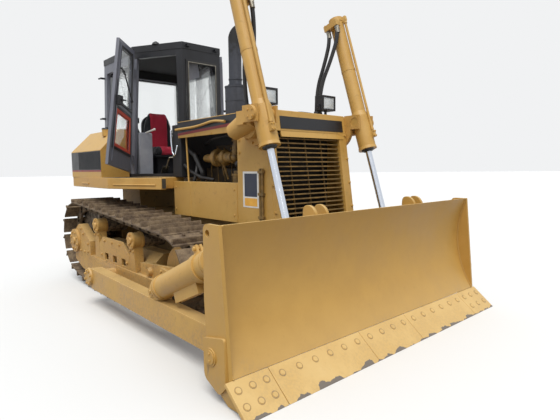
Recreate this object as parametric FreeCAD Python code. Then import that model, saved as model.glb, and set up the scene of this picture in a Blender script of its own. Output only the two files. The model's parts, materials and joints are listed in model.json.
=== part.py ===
import FreeCAD, Part
import math
import os

from FreeCAD import Vector

os.makedirs("parts", exist_ok=True)

# A medium crawler dozer with a straight blade, a hexagonal cab and an open engine bay.
# Millimetres. +X is forward, towards the blade, +Y is the machine's left and +Z is up.
# The origin is on the ground under the middle of the whole machine, blade included.

# Tracks: a closed loop of shoes on link rails, round a sprocket, an idler and two carrier rollers
track_gauge = 1880
shoe_width = 560
shoe_pitch = 203
shoe_thickness = 12
grouser_height = 50
grouser_tip = 12
grouser_root = 26
shoe_gap = 6
pin_to_shoe = 55
rail_depth = 105
rail_thickness = 40
rail_spread = 150
bushing_radius = 26
sprocket_x = -1800
sprocket_z = 600
sprocket_pitch_radius = 392
sprocket_teeth = 24
sprocket_thickness = 76
idler_x = 630
idler_z = 475
idler_pitch_radius = 340
idler_axle = 48
idler_axle_reach = 168
ground_run_rear = -1320
ground_run_front = 230
track_rollers = 6
roller_radius = 92
roller_inset = 185
roller_clearance = 0.3
carrier_clearance = 0.8
carrier_radius = 84
roller_pin = 34
carrier_pin_reach = 140
carrier_xs = (-1100, -110)

# Track frames
frame_inner = track_gauge / 2 - 125
frame_outer = track_gauge / 2 + 130
frame_top = 600
frame_floor = 372
guard_outer = track_gauge / 2 + 248
guard_bottom = 205
guard_top = 400
guard_rear = -1560
guard_front = 520

# Push arms outside the tracks, and the blade that they carry between its end plates
arm_gap = 125
arm_width = 120
arm_outer = track_gauge / 2 + shoe_width / 2 + arm_gap + arm_width
arm_pivot_x = -570
arm_pivot_z = 320
arm_pin_x = 2046
arm_pin_z = 286
brace_foot_x = 915
brace_foot_z = 456
brace_eye_width = 60
brace_radius = 100
brace_head_x = 1880
brace_head_z = 872

# Blade
blade_width = 2 * (arm_outer + 135)
blade_height = 1130
blade_top_x = 2135
blade_foot_x = 2218
blade_foot_z = 176
blade_sagitta = 128
blade_skin = 16
edge_thickness = 28
edge_tip_x = 2430
end_bit_overhang = 30
edge_joints = (-0.7945, -0.2178, 0.1687, 0.7577)
edge_gap = 4
end_plate_thickness = 25
end_plate_rear_x = 1962
lifting_eye_radius = 24
rib_y = 660
rib_rise = 65
rib_thickness = 28

# Lift cylinders
cylinder_y = 660
trunnion_x = 1440
trunnion_z = 1930
rod_pin_x = 1842
rod_pin_z = 650
barrel_radius = 72
gland_radius = 88
barrel_above = 1160
barrel_below = 290
rod_radius = 32
rod_eye_radius = 62
rod_eye_width = 78
rod_clearance = 0.05
trunnion_pin = 45
trunnion_clearance = 0.06

# Radiator guard, hood and engine bay
guard_half = 543
guard_skin = 30
guard_top_z = 2000
guard_foot_z = 470
guard_rear_x = 910
guard_front_top_x = 1306
guard_lean = 0.14
column_width = 108
band_depth = 190
grille_slats = 22
grille_bars = 3
slat_depth = 34
slat_height = 12
hood_rear_x = -210
hood_half = 540
hood_skin = 8
skirt_foot_z = 1820
rail_radius = 13
panel_top_z = 1335
panel_foot_z = 950
panel_skin = 12
panel_rear_x = -335

# Chassis
hull_half = 400
hull_foot = 430
hull_top = 940
hull_rear = -2150
hull_front = 1240
drive_radius = 300
drawbar_rear = -2430
drawbar_eye_x = -2350
drawbar_eye_radius = 27
drawbar_plate = 60
drawbar_cheek = 30

# Fenders, tank and cab
deck_top = 1380
deck_depth = 130
deck_outer = 1080
deck_rear = -2310
deck_front = -940
deck_nose = -150
deck_nose_half = 800
deck_inner = 735
tank_rear = -2300
tank_front = -1210
tank_outer = 1050
tank_shoulder = 1720
tank_top = 1985
tank_bevel = 250
tank_hip = 70
cab_floor = 1400
cab_roof = 3000
roof_skirt = 80
roof_skin = 40
roof_overhang = 6
cab_front_x = -530
cab_corner_x = -1133
cab_rear_x = -2080
cab_front_half = 270
cab_half = 613
corner_spread = 0.17
cab_wall = 50
glass = 6
door_skin = 34
door_gap = 12
hinge_inset = 45
hinge_low = 160
hinge_from_roof = 370
hinge_high = cab_roof - cab_floor - hinge_from_roof
hinge_pin = 10
hinge_clearance = 0.05
knuckle_radius = 20
knuckle_length = 90
lug_thickness = 15
knuckle_lift = 0.2
door_foot_width = 790
door_head_width = 650
door_open_angle = -75

right_and_left = (("right", -1), ("left", 1))


# Shapes from sizes
def block(x0, x1, y0, y1, z0, z1):
    low = Vector(min(x0, x1), min(y0, y1), min(z0, z1))
    return Part.makeBox(abs(x1 - x0), abs(y1 - y0), abs(z1 - z0), low)


def polygon_face(corners):
    points = [Vector(*c) for c in corners]
    return Part.Face(Part.makePolygon(points + points[:1]))


def rectangle(a, b, low, high):
    return ((a, low), (b, low), (b, high), (a, high))


def side_plate(outline, y0, y1):
    """A plate with its outline in X and Z, from y0 to y1."""
    face = polygon_face([(x, y0, z) for x, z in outline])
    return face.extrude(Vector(0, y1 - y0, 0))


def floor_plate(outline, z0, z1):
    face = polygon_face([(x, y, z0) for x, y in outline])
    return face.extrude(Vector(0, 0, z1 - z0))


def cross_plate(outline, x0, x1):
    """A plate with its outline in Y and Z, from x0 to x1."""
    face = polygon_face([(x0, y, z) for y, z in outline])
    return face.extrude(Vector(x1 - x0, 0, 0))


def bar(start, end, radius):
    """A round bar between two points."""
    a = Vector(*start)
    way = Vector(*end) - a
    return Part.makeCylinder(radius, way.Length, a, way)


def cross_bar(x, z, radius, y0, y1):
    return bar((x, min(y0, y1), z), (x, max(y0, y1), z), radius)


def lathe(profile, x, z, middle=0):
    """A body turned about an axle along Y through (x, z); the profile is (radius, distance from middle)."""
    face = polygon_face([(x + radius, middle + y, z) for radius, y in profile])
    return face.revolve(Vector(x, 0, z), Vector(0, 1, 0), 360)


def fuse(shapes):
    joined = shapes[0]
    if len(shapes) > 1:
        joined = shapes[0].multiFuse(shapes[1:])
    return joined.removeSplitter()


def cut(shape, tools):
    return shape.cut(Part.makeCompound(tools))


def rounded(corners):
    """A closed outline in X and Z with an arc at each corner that has a radius: (x, z, radius)."""
    edges = []
    starts = []
    count = len(corners)
    for i in range(count):
        x, z, radius = corners[i]
        here = Vector(x, 0, z)
        before = Vector(corners[i - 1][0], 0, corners[i - 1][1])
        after = Vector(corners[(i + 1) % count][0], 0, corners[(i + 1) % count][1])
        to_before = (before - here).normalize()
        to_after = (after - here).normalize()
        if radius == 0:
            starts.append((here, here, None))
            continue
        half = to_before.getAngle(to_after) / 2
        reach = radius / math.tan(half)
        middle = (to_before + to_after).normalize()
        nearest = here + middle * (radius / math.sin(half) - radius)
        starts.append((here + to_before * reach, here + to_after * reach, nearest))
    for i in range(count):
        arc_start, arc_end, nearest = starts[i]
        if nearest is not None:
            edges.append(Part.Arc(arc_start, nearest, arc_end).toShape())
        following = starts[(i + 1) % count][0]
        if (following - arc_end).Length > 0.001:
            edges.append(Part.LineSegment(arc_end, following).toShape())
    return Part.Face(Part.Wire(edges))


def rounded_plate(corners, y0, y1):
    face = rounded(corners)
    face.translate(Vector(0, y0, 0))
    return face.extrude(Vector(0, y1 - y0, 0))


def tube(points, radius):
    """A round tube: straight runs joined by tangent arcs, each as large as its two runs allow."""
    points = [Vector(*p) for p in points]
    pieces = []
    start = points[0]
    for i in range(1, len(points) - 1):
        here = points[i]
        to_before = points[i - 1] - here
        to_after = points[i + 1] - here
        reach = 0.45 * min(to_before.Length, to_after.Length)
        to_before.normalize()
        to_after.normalize()
        turn = math.pi - to_before.getAngle(to_after)
        arc_radius = reach / math.tan(turn / 2)
        arc_start = here + to_before * reach
        centre = here + (to_before + to_after).normalize() * math.hypot(reach, arc_radius)
        section = Part.Face(Part.Wire(Part.makeCircle(radius, arc_start, to_before)))
        pieces.append(bar(start, arc_start, radius))
        pieces.append(section.revolve(centre, to_after.cross(to_before), math.degrees(turn)))
        start = here + to_after * reach
    pieces.append(bar(start, points[-1], radius))
    return fuse(pieces)


def save(name, shape):
    shape.exportStep("parts/" + name + ".step")


def save_both(name, make):
    """One node for each side; make is called with -1 for the right and 1 for the left."""
    for side, sign in right_and_left:
        save(name + "_" + side, make(sign))


# The track's path through its pins, started behind the sprocket
def hull_of(points):
    points = sorted(set(points))

    def half_hull(run):
        kept = []
        for p in run:
            while len(kept) > 1:
                a, b = kept[-2], kept[-1]
                if (b[0] - a[0]) * (p[1] - a[1]) - (b[1] - a[1]) * (p[0] - a[0]) > 0:
                    break
                kept.pop()
            kept.append(p)
        return kept[:-1]

    return half_hull(points) + half_hull(points[::-1])


ground_pin_z = grouser_height + shoe_thickness + pin_to_shoe


def track_pins():
    steps = 360
    outline = [(ground_run_rear, ground_pin_z), (ground_run_front, ground_pin_z)]
    wheels = (
        (sprocket_x, sprocket_z, sprocket_pitch_radius),
        (idler_x, idler_z, idler_pitch_radius),
    )
    for x, z, radius in wheels:
        for i in range(steps):
            turn = 2 * math.pi * i / steps
            outline.append((x + radius * math.cos(turn), z + radius * math.sin(turn)))
    loop = hull_of(outline)
    rearmost = min(range(len(loop)), key=lambda i: loop[i][0])
    loop = loop[rearmost:] + loop[:rearmost]
    lengths = [math.dist(loop[i], loop[(i + 1) % len(loop)]) for i in range(len(loop))]
    count = round(sum(lengths) / shoe_pitch)
    step = sum(lengths) / count
    pins = []
    walked = 0
    for i in range(len(loop)):
        a = loop[i]
        b = loop[(i + 1) % len(loop)]
        while len(pins) < count and len(pins) * step < walked + lengths[i]:
            share = (len(pins) * step - walked) / lengths[i]
            pins.append((a[0] + (b[0] - a[0]) * share, a[1] + (b[1] - a[1]) * share))
        walked += lengths[i]
    return pins


pins = track_pins()


def outside(a, b):
    """Unit vectors along a pitch and outwards from it; the loop runs anticlockwise."""
    length = math.dist(a, b)
    along = ((b[0] - a[0]) / length, (b[1] - a[1]) / length)
    return along, (along[1], -along[0]), length


def offset_loop(distance):
    """The pins' polygon moved outwards by a distance, its sides kept parallel."""
    moved = []
    for i in range(len(pins)):
        here = pins[i]
        _, out_before, _ = outside(pins[i - 1], here)
        _, out_after, _ = outside(here, pins[(i + 1) % len(pins)])
        middle = (out_before[0] + out_after[0], out_before[1] + out_after[1])
        scale = distance / (1 + out_before[0] * out_after[0] + out_before[1] * out_after[1])
        moved.append((here[0] + middle[0] * scale, here[1] + middle[1] * scale))
    return moved


def shoe_outline():
    """The outer face of all shoes in one closed line, with a grouser on each."""
    outer = []
    inner_loop = offset_loop(pin_to_shoe + shoe_thickness / 2)
    for i in range(len(pins)):
        a = pins[i]
        along, out, length = outside(a, pins[(i + 1) % len(pins)])
        lead = 0.1 * length
        # Along the pitch, outwards from the pins
        profile = (
            (shoe_gap / 2, pin_to_shoe + shoe_thickness),
            (lead, pin_to_shoe + shoe_thickness),
            (lead + (grouser_root - grouser_tip) / 2, pin_to_shoe + shoe_thickness + grouser_height),
            (lead + (grouser_root + grouser_tip) / 2, pin_to_shoe + shoe_thickness + grouser_height),
            (lead + grouser_root, pin_to_shoe + shoe_thickness),
            (length - shoe_gap / 2, pin_to_shoe + shoe_thickness),
        )
        outer.append(inner_loop[i])
        for t, n in profile:
            outer.append((a[0] + along[0] * t + out[0] * n, a[1] + along[1] * t + out[1] * n))
    return outer


def loop_solid(outer, inner, y0, y1):
    ring = polygon_face([(x, y0, z) for x, z in outer]).cut(polygon_face([(x, y0, z) for x, z in inner]))
    return ring.Faces[0].extrude(Vector(0, y1 - y0, 0))


def track(sign):
    middle = sign * track_gauge / 2
    shoes = loop_solid(
        shoe_outline(), offset_loop(pin_to_shoe), middle - shoe_width / 2, middle + shoe_width / 2
    )
    pieces = [shoes]
    for inner_edge in (-rail_spread / 2 - rail_thickness, rail_spread / 2):
        y0 = middle + inner_edge
        rail = loop_solid(
            offset_loop(pin_to_shoe), offset_loop(pin_to_shoe - rail_depth), y0, y0 + rail_thickness
        )
        pieces.append(rail)
    return fuse(pieces)


save_both("track", track)


# Sprocket: a toothed ring, its web and hub, on the final drive's shaft
shaft_radius = 90
drive_face = track_gauge / 2 - 240
hub_face = track_gauge / 2 + 145


def sprocket(sign):
    middle = sign * track_gauge / 2
    # The share of a tooth's turn and the radius there
    tooth = (
        (-0.34, sprocket_pitch_radius - bushing_radius - 4),
        (-0.16, sprocket_pitch_radius + 12),
        (0.16, sprocket_pitch_radius + 12),
        (0.34, sprocket_pitch_radius - bushing_radius - 4),
    )
    outline = []
    for i in range(sprocket_teeth):
        for share, radius in tooth:
            turn = math.pi + 2 * math.pi * (i + 0.5 + share) / sprocket_teeth
            outline.append((sprocket_x + radius * math.cos(turn), sprocket_z + radius * math.sin(turn)))
    ring = side_plate(outline, middle - sprocket_thickness / 2, middle + sprocket_thickness / 2)
    shaft = cross_bar(sprocket_x, sprocket_z, shaft_radius, sign * drive_face, sign * hub_face)
    return fuse([ring, shaft])


save_both("sprocket", sprocket)


# Idler: a wheel with a guide flange between the rails, on an axle held by the fork
idler_step = shoe_pitch / idler_pitch_radius / 2
idler_tread = idler_pitch_radius * math.cos(idler_step) - (rail_depth - pin_to_shoe) - 3


def idler(sign):
    # Half the wheel's section from the axle outwards: (radius, distance from its middle plane)
    half = (
        (0, idler_axle_reach),
        (idler_axle, idler_axle_reach),
        (idler_axle, 90),
        (idler_tread, 90),
    )
    mirrored = tuple((radius, -y) for radius, y in half[::-1])
    return lathe(half + mirrored, idler_x, idler_z, sign * track_gauge / 2)


save_both("idler", idler)


# Track rollers and carrier rollers, each with two treads and outer flanges, on its own pin
ground_rail = ground_pin_z + rail_depth - pin_to_shoe
roller_z = ground_rail + roller_radius + roller_clearance


def carrier(x, z, middle, sign):
    # (radius, distance outwards from the roller's middle plane)
    profile = (
        (0, -120),
        (carrier_radius, -120),
        (carrier_radius, 128),
        (roller_pin, 128),
        (roller_pin, carrier_pin_reach),
        (0, carrier_pin_reach),
    )
    return lathe([(radius, sign * y) for radius, y in profile], x, z, middle)


def top_run_z(x):
    """The height of the top run's pins at x."""
    for i in range(len(pins)):
        a = pins[i]
        b = pins[(i + 1) % len(pins)]
        if b[0] < a[0] and b[0] <= x <= a[0] and a[1] > idler_z:
            return a[1] + (b[1] - a[1]) * (x - a[0]) / (b[0] - a[0])
    return sprocket_z + sprocket_pitch_radius


def carrier_z(x):
    return top_run_z(x) - (rail_depth - pin_to_shoe) - carrier_radius - carrier_clearance


first_roller_x = ground_run_rear + roller_inset
last_roller_x = ground_run_front - roller_inset


def rollers(sign):
    middle = sign * track_gauge / 2
    wheels = []
    for i in range(track_rollers):
        x = first_roller_x + (last_roller_x - first_roller_x) * i / (track_rollers - 1)
        wheels.append(cross_bar(x, roller_z, roller_radius, sign * (frame_inner - 8), sign * frame_outer))
    for x in carrier_xs:
        wheels.append(carrier(x, carrier_z(x), middle, sign))
    return Part.makeCompound(wheels)


save_both("rollers", rollers)


# Track frame: a welded box over the rollers, roller guards, idler fork, carrier posts and covers
def track_frame(sign):
    def y(distance):
        return sign * distance

    # A box over the rollers with its outer top edge sloped as armour
    section = (
        (y(frame_inner), frame_floor),
        (y(frame_outer), frame_floor),
        (y(frame_outer), frame_top - 110),
        (y(frame_outer - 120), frame_top),
        (y(frame_inner), frame_top),
    )
    beam = cross_plate(section, guard_rear + 230, 150)
    pieces = [beam]
    # The outer guard: a long deep plate box that also carries the rear hub and the fork
    outer_guard = (
        (guard_rear - 330, 300),
        (guard_rear - 60, guard_bottom),
        (guard_front, guard_bottom),
        (guard_front, guard_top),
        (guard_rear - 330, guard_top + 20),
    )
    pieces.append(side_plate(outer_guard, y(frame_outer), y(guard_outer)))
    inner_guard = rectangle(guard_rear + 230, guard_front - 200, guard_bottom, frame_floor + 40)
    pieces.append(side_plate(inner_guard, y(frame_inner - 40), y(frame_inner - 8)))
    pieces.append(block(guard_rear + 230, 100, y(frame_inner - 40), y(frame_inner), frame_floor, frame_floor + 40))
    # The idler's fork: an arm each side of the wheel
    fork = (
        (40, 380, 0),
        (idler_x + 20, idler_z - 90, 0),
        (idler_x + 100, idler_z - 60, 60),
        (idler_x + 100, idler_z + 60, 60),
        (idler_x + 20, idler_z + 90, 0),
        (40, 520, 0),
    )
    fork_inner = track_gauge / 2 - idler_axle_reach
    fork_outer = track_gauge / 2 + idler_axle_reach
    pieces.append(rounded_plate(fork, y(fork_outer), y(fork_outer + 40)))
    pieces.append(rounded_plate(fork, y(fork_inner), y(fork_inner - 40)))
    pieces.append(block(20, 140, y(fork_inner - 40), y(fork_outer + 40), 400, 520))
    # The rear hub's armour, shaped round the shaft's outer bearing
    rear_cover = (
        (guard_rear - 330, guard_top, 0),
        (guard_rear + 240, guard_top, 0),
        (guard_rear + 240, 590, 0),
        (sprocket_x + 110, 790, 80),
        (sprocket_x - 40, 700, 0),
        (guard_rear - 330, 470, 0),
    )
    pieces.append(rounded_plate(rear_cover, y(hub_face), y(guard_outer)))
    pieces.append(cross_bar(sprocket_x - 30, sprocket_z - 50, 150, y(hub_face + 10), y(guard_outer + 30)))
    # Carrier posts rise from the guard and hold each carrier roller's pin
    for x in carrier_xs:
        z = carrier_z(x)
        post = (
            (x - 80, guard_top - 20),
            (x + 80, guard_top - 20),
            (x + 52, z - 60),
            (x + 52, z + 60),
            (x - 52, z + 60),
            (x - 52, z - 60),
        )
        pieces.append(side_plate(post, y(track_gauge / 2 + carrier_pin_reach), y(guard_outer - 10)))
    # The cover between the posts, with three gaps along its foot
    cover = [(carrier_xs[0] + 75, guard_top - 20), (carrier_xs[0] + 75, 600), (carrier_xs[0] + 180, 690)]
    cover += [(carrier_xs[1] - 260, 690), (carrier_xs[1] - 75, 560), (carrier_xs[1] - 75, guard_top - 20)]
    panel = side_plate(cover, y(guard_outer - 32), y(guard_outer - 10))
    gaps = []
    for i in range(3):
        x = carrier_xs[0] + 230 + i * 240
        gaps.append(block(x, x + 110, y(guard_outer - 40), y(guard_outer), guard_top + 30, guard_top + 110))
    pieces.append(cut(panel, gaps))
    # The push arm's trunnion stands out of the guard
    trunnion_end = arm_outer - arm_width / 2
    pieces.append(cross_bar(arm_pivot_x, arm_pivot_z, 60, y(guard_outer - 20), y(trunnion_end)))
    return fuse(pieces)


save_both("track_frame", track_frame)


# Main frame: the hull under the engine, the steering case, both final drives and the equaliser bar
def main_frame():
    hull = (
        (hull_rear, hull_foot + 90),
        (hull_rear + 200, hull_foot),
        (hull_front - 330, hull_foot),
        (hull_front, hull_foot + 160),
        (hull_front, hull_top - 120),
        (hull_front - 400, hull_top),
        (hull_rear + 620, hull_top),
        (hull_rear + 560, deck_top - deck_depth),
        (hull_rear, deck_top - deck_depth),
    )
    pieces = [side_plate(hull, -hull_half, hull_half)]
    for sign in (-1, 1):
        pieces.append(cross_bar(sprocket_x, sprocket_z, drive_radius, sign * (hull_half - 10), sign * drive_face))
    bar_end = track_gauge / 2 - idler_axle_reach - 40
    pieces.append(block(20, 140, -bar_end, bar_end, 400, 520))
    # A cross member in front carries the radiator guard's sides
    member_half = guard_half - guard_skin
    pieces.append(block(guard_rear_x + 50, guard_rear_x + 270, -member_half, member_half, 640, 760))
    return fuse(pieces)


save("main_frame", main_frame())


# Drawbar at the back: a thick tongue with a pin hole, between two cheeks
def drawbar():
    half = 90
    foot = hull_foot + 100
    top = foot + drawbar_plate
    pieces = [block(drawbar_rear, hull_rear, -half, half, foot, top)]
    for sign in (-1, 1):
        outer = sign * half
        pieces.append(block(drawbar_rear + 40, hull_rear, outer, outer - sign * drawbar_cheek, top, top + 100))
    eye = bar((drawbar_eye_x, 0, foot - 10), (drawbar_eye_x, 0, top + 10), drawbar_eye_radius)
    return cut(fuse(pieces), [eye])


save("drawbar", drawbar())


# Engine: block, head and sump, with the manifold and turbocharger on its right side
def engine_block():
    pieces = [
        block(-120, 790, -230, 230, hull_top, 1480),
        block(-100, 770, -190, 190, 1480, 1640),
        block(-80, 750, -120, 120, 1640, 1740),
    ]
    return fuse(pieces)


save("engine_block", engine_block())


def engine_fittings():
    pieces = [
        bar((60, -330, 1600), (250, -330, 1600), 46),
        bar((250, -330, 1600), (380, -330, 1600), 90),
        bar((380, -330, 1600), (620, -330, 1600), 66),
        block(100, 600, -290, -190, 1540, 1600),
    ]
    return fuse(pieces)


save("engine_fittings", engine_fittings())


# Radiator guard: two side plates, leaning columns, a header with its band, and a top plate
def guard_front_x(z):
    return guard_front_top_x + (guard_top_z - z) * guard_lean


grille_foot_z = 860
grille_top_z = guard_top_z - band_depth
grille_half = guard_half - column_width


def radiator_guard():
    outline = (
        (guard_rear_x, guard_foot_z),
        (guard_front_x(guard_foot_z), guard_foot_z),
        (guard_front_x(guard_top_z), guard_top_z),
        (guard_rear_x, guard_top_z),
    )
    body = side_plate(outline, -guard_half, guard_half)
    inside = (
        (guard_rear_x - 1, hull_foot - 1),
        (guard_front_x(hull_foot) - 110, hull_foot - 1),
        (guard_front_x(guard_top_z) - 110, guard_top_z - guard_skin),
        (guard_rear_x - 1, guard_top_z - guard_skin),
    )
    hollow = side_plate(inside, -guard_half + guard_skin, guard_half - guard_skin)
    mouth = (
        (guard_front_x(grille_foot_z) - 300, grille_foot_z),
        (guard_front_x(grille_foot_z) + 50, grille_foot_z),
        (guard_front_x(grille_top_z) + 50, grille_top_z),
        (guard_front_x(grille_top_z) - 300, grille_top_z),
    )
    return cut(body, [hollow, side_plate(mouth, -grille_half, grille_half)])


save("radiator_guard", radiator_guard())


def radiator_grille():
    pieces = []
    for i in range(grille_slats):
        z = grille_foot_z + (grille_top_z - grille_foot_z) * (i + 0.5) / grille_slats
        x = guard_front_x(z) - 30
        pieces.append(block(x - slat_depth, x, -grille_half, grille_half, z - slat_height / 2, z + slat_height / 2))
    lean_depth = (grille_top_z - grille_foot_z) * guard_lean
    bar_front = guard_front_x(grille_top_z) - 30 - slat_depth - 3
    for i in range(grille_bars):
        y = -grille_half + 2 * grille_half * (i + 1) / (grille_bars + 1)
        outline = (
            (bar_front - 14 + lean_depth, grille_foot_z),
            (bar_front + lean_depth, grille_foot_z),
            (bar_front, grille_top_z),
            (bar_front - 14, grille_top_z),
        )
        pieces.append(side_plate(outline, y - 7, y + 7))
    return Part.makeCompound(pieces)


save("radiator_grille", radiator_grille())


def radiator_core():
    back = guard_rear_x + 60
    return block(back, back + 130, -guard_half + guard_skin, guard_half - guard_skin, hull_top, guard_top_z - guard_skin)


save("radiator_core", radiator_core())


# Hood: a folded sheet with deep side skirts over the engine bay
def hood():
    outer = block(hood_rear_x, guard_rear_x, -hood_half, hood_half, skirt_foot_z, guard_top_z)
    inner = block(
        hood_rear_x - 1,
        guard_rear_x + 1,
        -hood_half + hood_skin,
        hood_half - hood_skin,
        skirt_foot_z - 1,
        guard_top_z - hood_skin,
    )
    return outer.cut(inner)


save("hood", hood())


def hand_rail(sign):
    y = sign * (hood_half + 32)
    rail_z = skirt_foot_z + 92
    route = (
        (hood_rear_x + 10, y, rail_z),
        (hood_rear_x + 440, y, rail_z + 2),
        (hood_rear_x + 770, y, rail_z + 40),
        (hood_rear_x + 965, y, rail_z + 16),
    )
    rail = tube(route, rail_radius)
    studs = []
    for x, z in ((hood_rear_x + 60, rail_z), (hood_rear_x + 930, rail_z + 20)):
        studs.append(cross_bar(x, z, 9, sign * hood_half, y))
    return fuse([rail] + studs)


save_both("hand_rail", hand_rail)


def side_panel(sign):
    y = sign * hood_half
    sheet = block(panel_rear_x, guard_rear_x, y, y - sign * panel_skin, panel_foot_z, panel_top_z)
    lip = block(panel_rear_x, guard_rear_x, y, y - sign * 60, panel_top_z - panel_skin, panel_top_z)
    bracket = block(panel_rear_x, guard_rear_x, y, sign * (hull_half + 1), panel_foot_z, panel_foot_z + panel_skin)
    return fuse([sheet, lip, bracket])


save_both("side_panel", side_panel)


# Exhaust: a muffler box on the hood and a stack cut at a slant
stack_x = 440
stack_y = -200
stack_radius = 68
stack_top = 2985
muffler_radius = 112
muffler_top = 2330


def exhaust_stack():
    foot = block(stack_x - 140, stack_x + 140, stack_y - 125, stack_y + 125, guard_top_z, guard_top_z + 25)
    muffler = bar((stack_x, stack_y, guard_top_z), (stack_x, stack_y, muffler_top), muffler_radius)
    pipe = bar((stack_x, stack_y, muffler_top - 10), (stack_x, stack_y, stack_top), stack_radius)
    bore = bar((stack_x, stack_y, muffler_top + 100), (stack_x, stack_y, stack_top + 1), stack_radius - 6)
    slant = side_plate(
        (
            (stack_x - stack_radius - 40, stack_top - 230),
            (stack_x + stack_radius + 20, stack_top),
            (stack_x + stack_radius + 20, stack_top + 50),
            (stack_x - stack_radius - 40, stack_top + 50),
        ),
        stack_y - 100,
        stack_y + 100,
    )
    return cut(fuse([foot, muffler, pipe]), [bore, slant])


save("exhaust_stack", exhaust_stack())


# Work lamps on the radiator guard
def head_lamps():
    lamps = []
    for sign in (-1, 1):
        y = sign * 400
        foot = bar((1180, y, guard_top_z), (1180, y, guard_top_z + 60), 14)
        shell = block(1120, 1235, y - 95, y + 95, guard_top_z + 55, guard_top_z + 205)
        lens = block(1225, 1236, y - 80, y + 80, guard_top_z + 72, guard_top_z + 188)
        lamps.append(fuse([foot, shell]).cut(lens))
    return Part.makeCompound(lamps)


save("head_lamps", head_lamps())


# Fenders: deep folded decks beside the hood and under the cab's sides
def fender(sign):
    step_x = panel_rear_x - 10
    wall = 30
    outline = (
        (deck_rear, sign * hull_half),
        (deck_rear, sign * (deck_outer - 40)),
        (deck_front, sign * deck_outer),
        (deck_nose, sign * deck_nose_half),
        (deck_nose, sign * deck_inner),
        (step_x, sign * deck_inner),
        (step_x, sign * hull_half),
    )
    body = floor_plate(outline, deck_top - deck_depth, deck_top)
    inner = (
        (deck_rear + wall, sign * (hull_half + wall)),
        (deck_rear + wall, sign * (deck_outer - 40 - wall)),
        (deck_front - 10, sign * (deck_outer - wall)),
        (step_x - wall, sign * (deck_inner + wall)),
        (step_x - wall, sign * (hull_half + wall)),
    )
    return body.cut(floor_plate(inner, deck_top - deck_depth - 1, deck_top - 20))


save_both("fender", fender)


# Cab: a six-sided shell with a doorway in each diagonal wall; its corners spread towards the floor
def cab_half_at(z):
    spread = 1 + corner_spread * (cab_roof - z) / (cab_roof - cab_floor)
    return cab_front_half + (cab_half - cab_front_half) * spread


def cab_plan(grow, z):
    """The cab's plan at a height, grown outwards by a distance."""
    half = cab_half_at(z)
    reach = (half - cab_front_half) / (cab_half - cab_front_half)
    corner_x = cab_front_x + (cab_corner_x - cab_front_x) * reach
    corners = [
        (cab_front_x, -cab_front_half),
        (cab_front_x, cab_front_half),
        (corner_x, half),
        (cab_rear_x, half),
        (cab_rear_x, -half),
        (corner_x, -half),
    ]
    moved = []
    for i in range(len(corners)):
        here = corners[i]
        _, out_before, _ = outside(corners[i - 1], here)
        _, out_after, _ = outside(here, corners[(i + 1) % len(corners)])
        middle = (out_before[0] + out_after[0], out_before[1] + out_after[1])
        scale = grow / (1 + out_before[0] * out_after[0] + out_before[1] * out_after[1])
        moved.append((here[0] + middle[0] * scale, here[1] + middle[1] * scale))
    return moved


def cab_prism(grow, z0, z1):
    """The cab's space between two heights, grown outwards by a distance."""
    low = [(x, y, z0) for x, y in cab_plan(grow, z0)]
    high = [(x, y, z1) for x, y in cab_plan(grow, z1)]
    faces = [polygon_face(low), polygon_face(high)]
    for i in range(len(low)):
        faces.append(polygon_face([low[i - 1], low[i], high[i], high[i - 1]]))
    return Part.makeSolid(Part.makeShell(faces))


# Fuel tank: a low hipped box across the back with a wing beside the cab on each side
def fuel_tank():
    section = (
        (-tank_outer, deck_top),
        (-tank_outer, tank_shoulder),
        (-tank_outer + tank_bevel, tank_top),
        (tank_outer - tank_bevel, tank_top),
        (tank_outer, tank_shoulder),
        (tank_outer, deck_top),
    )
    body = cross_plate(section, tank_rear, tank_front)
    well_half = cab_half_at(cab_floor) + 20
    well = block(cab_rear_x - 20, tank_front + 1, -well_half, well_half, deck_top - 1, tank_top + 1)
    hip = side_plate(
        (
            (tank_rear - 1, tank_shoulder),
            (tank_rear + tank_hip, tank_top + 1),
            (tank_rear - 1, tank_top + 1),
        ),
        -tank_outer - 1,
        tank_outer + 1,
    )
    cap_x = tank_front - 280
    cap_y = -tank_outer + tank_bevel - 50
    cap = bar((cap_x, cap_y, tank_top - 80), (cap_x, cap_y, tank_top + 10), 60)
    return fuse([cut(body, [well, hip]), cap])


save("fuel_tank", fuel_tank())


# Cab shell: walls, windows and doorways, with the door hinges' lugs on its corners
wall_length = math.dist((cab_front_x, cab_front_half), (cab_corner_x, cab_half))
wall_angle = math.degrees(math.atan2(cab_half - cab_front_half, cab_front_x - cab_corner_x))
corner_lean = math.atan2(wall_length * corner_spread, cab_roof - cab_floor)


def corner_at(z):
    """How far the diagonal wall's rear corner has come forward at a height, from where it is at the floor."""
    return (z - cab_floor) * math.tan(corner_lean)


def upright(outline, sign, n0, n1):
    """A plate on a diagonal wall; the outline is (distance forward of the corner's foot, height)."""
    plate_shape = side_plate(outline, n0, n1)
    plate_shape.rotate(Vector(0, 0, 0), Vector(0, 0, 1), -sign * wall_angle)
    foot = wall_length * (1 + corner_spread)
    turn = math.radians(wall_angle)
    plate_shape.translate(
        Vector(cab_front_x - foot * math.cos(turn), sign * (cab_front_half + foot * math.sin(turn)), 0)
    )
    return plate_shape


post = 62
window_sill = 1980
window_head = cab_roof - 200
rear_sill = 1860
doorway_head = cab_roof - 150
doorway_foot = cab_floor + 20
doorway_front = wall_length * (1 + corner_spread) - post


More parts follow.
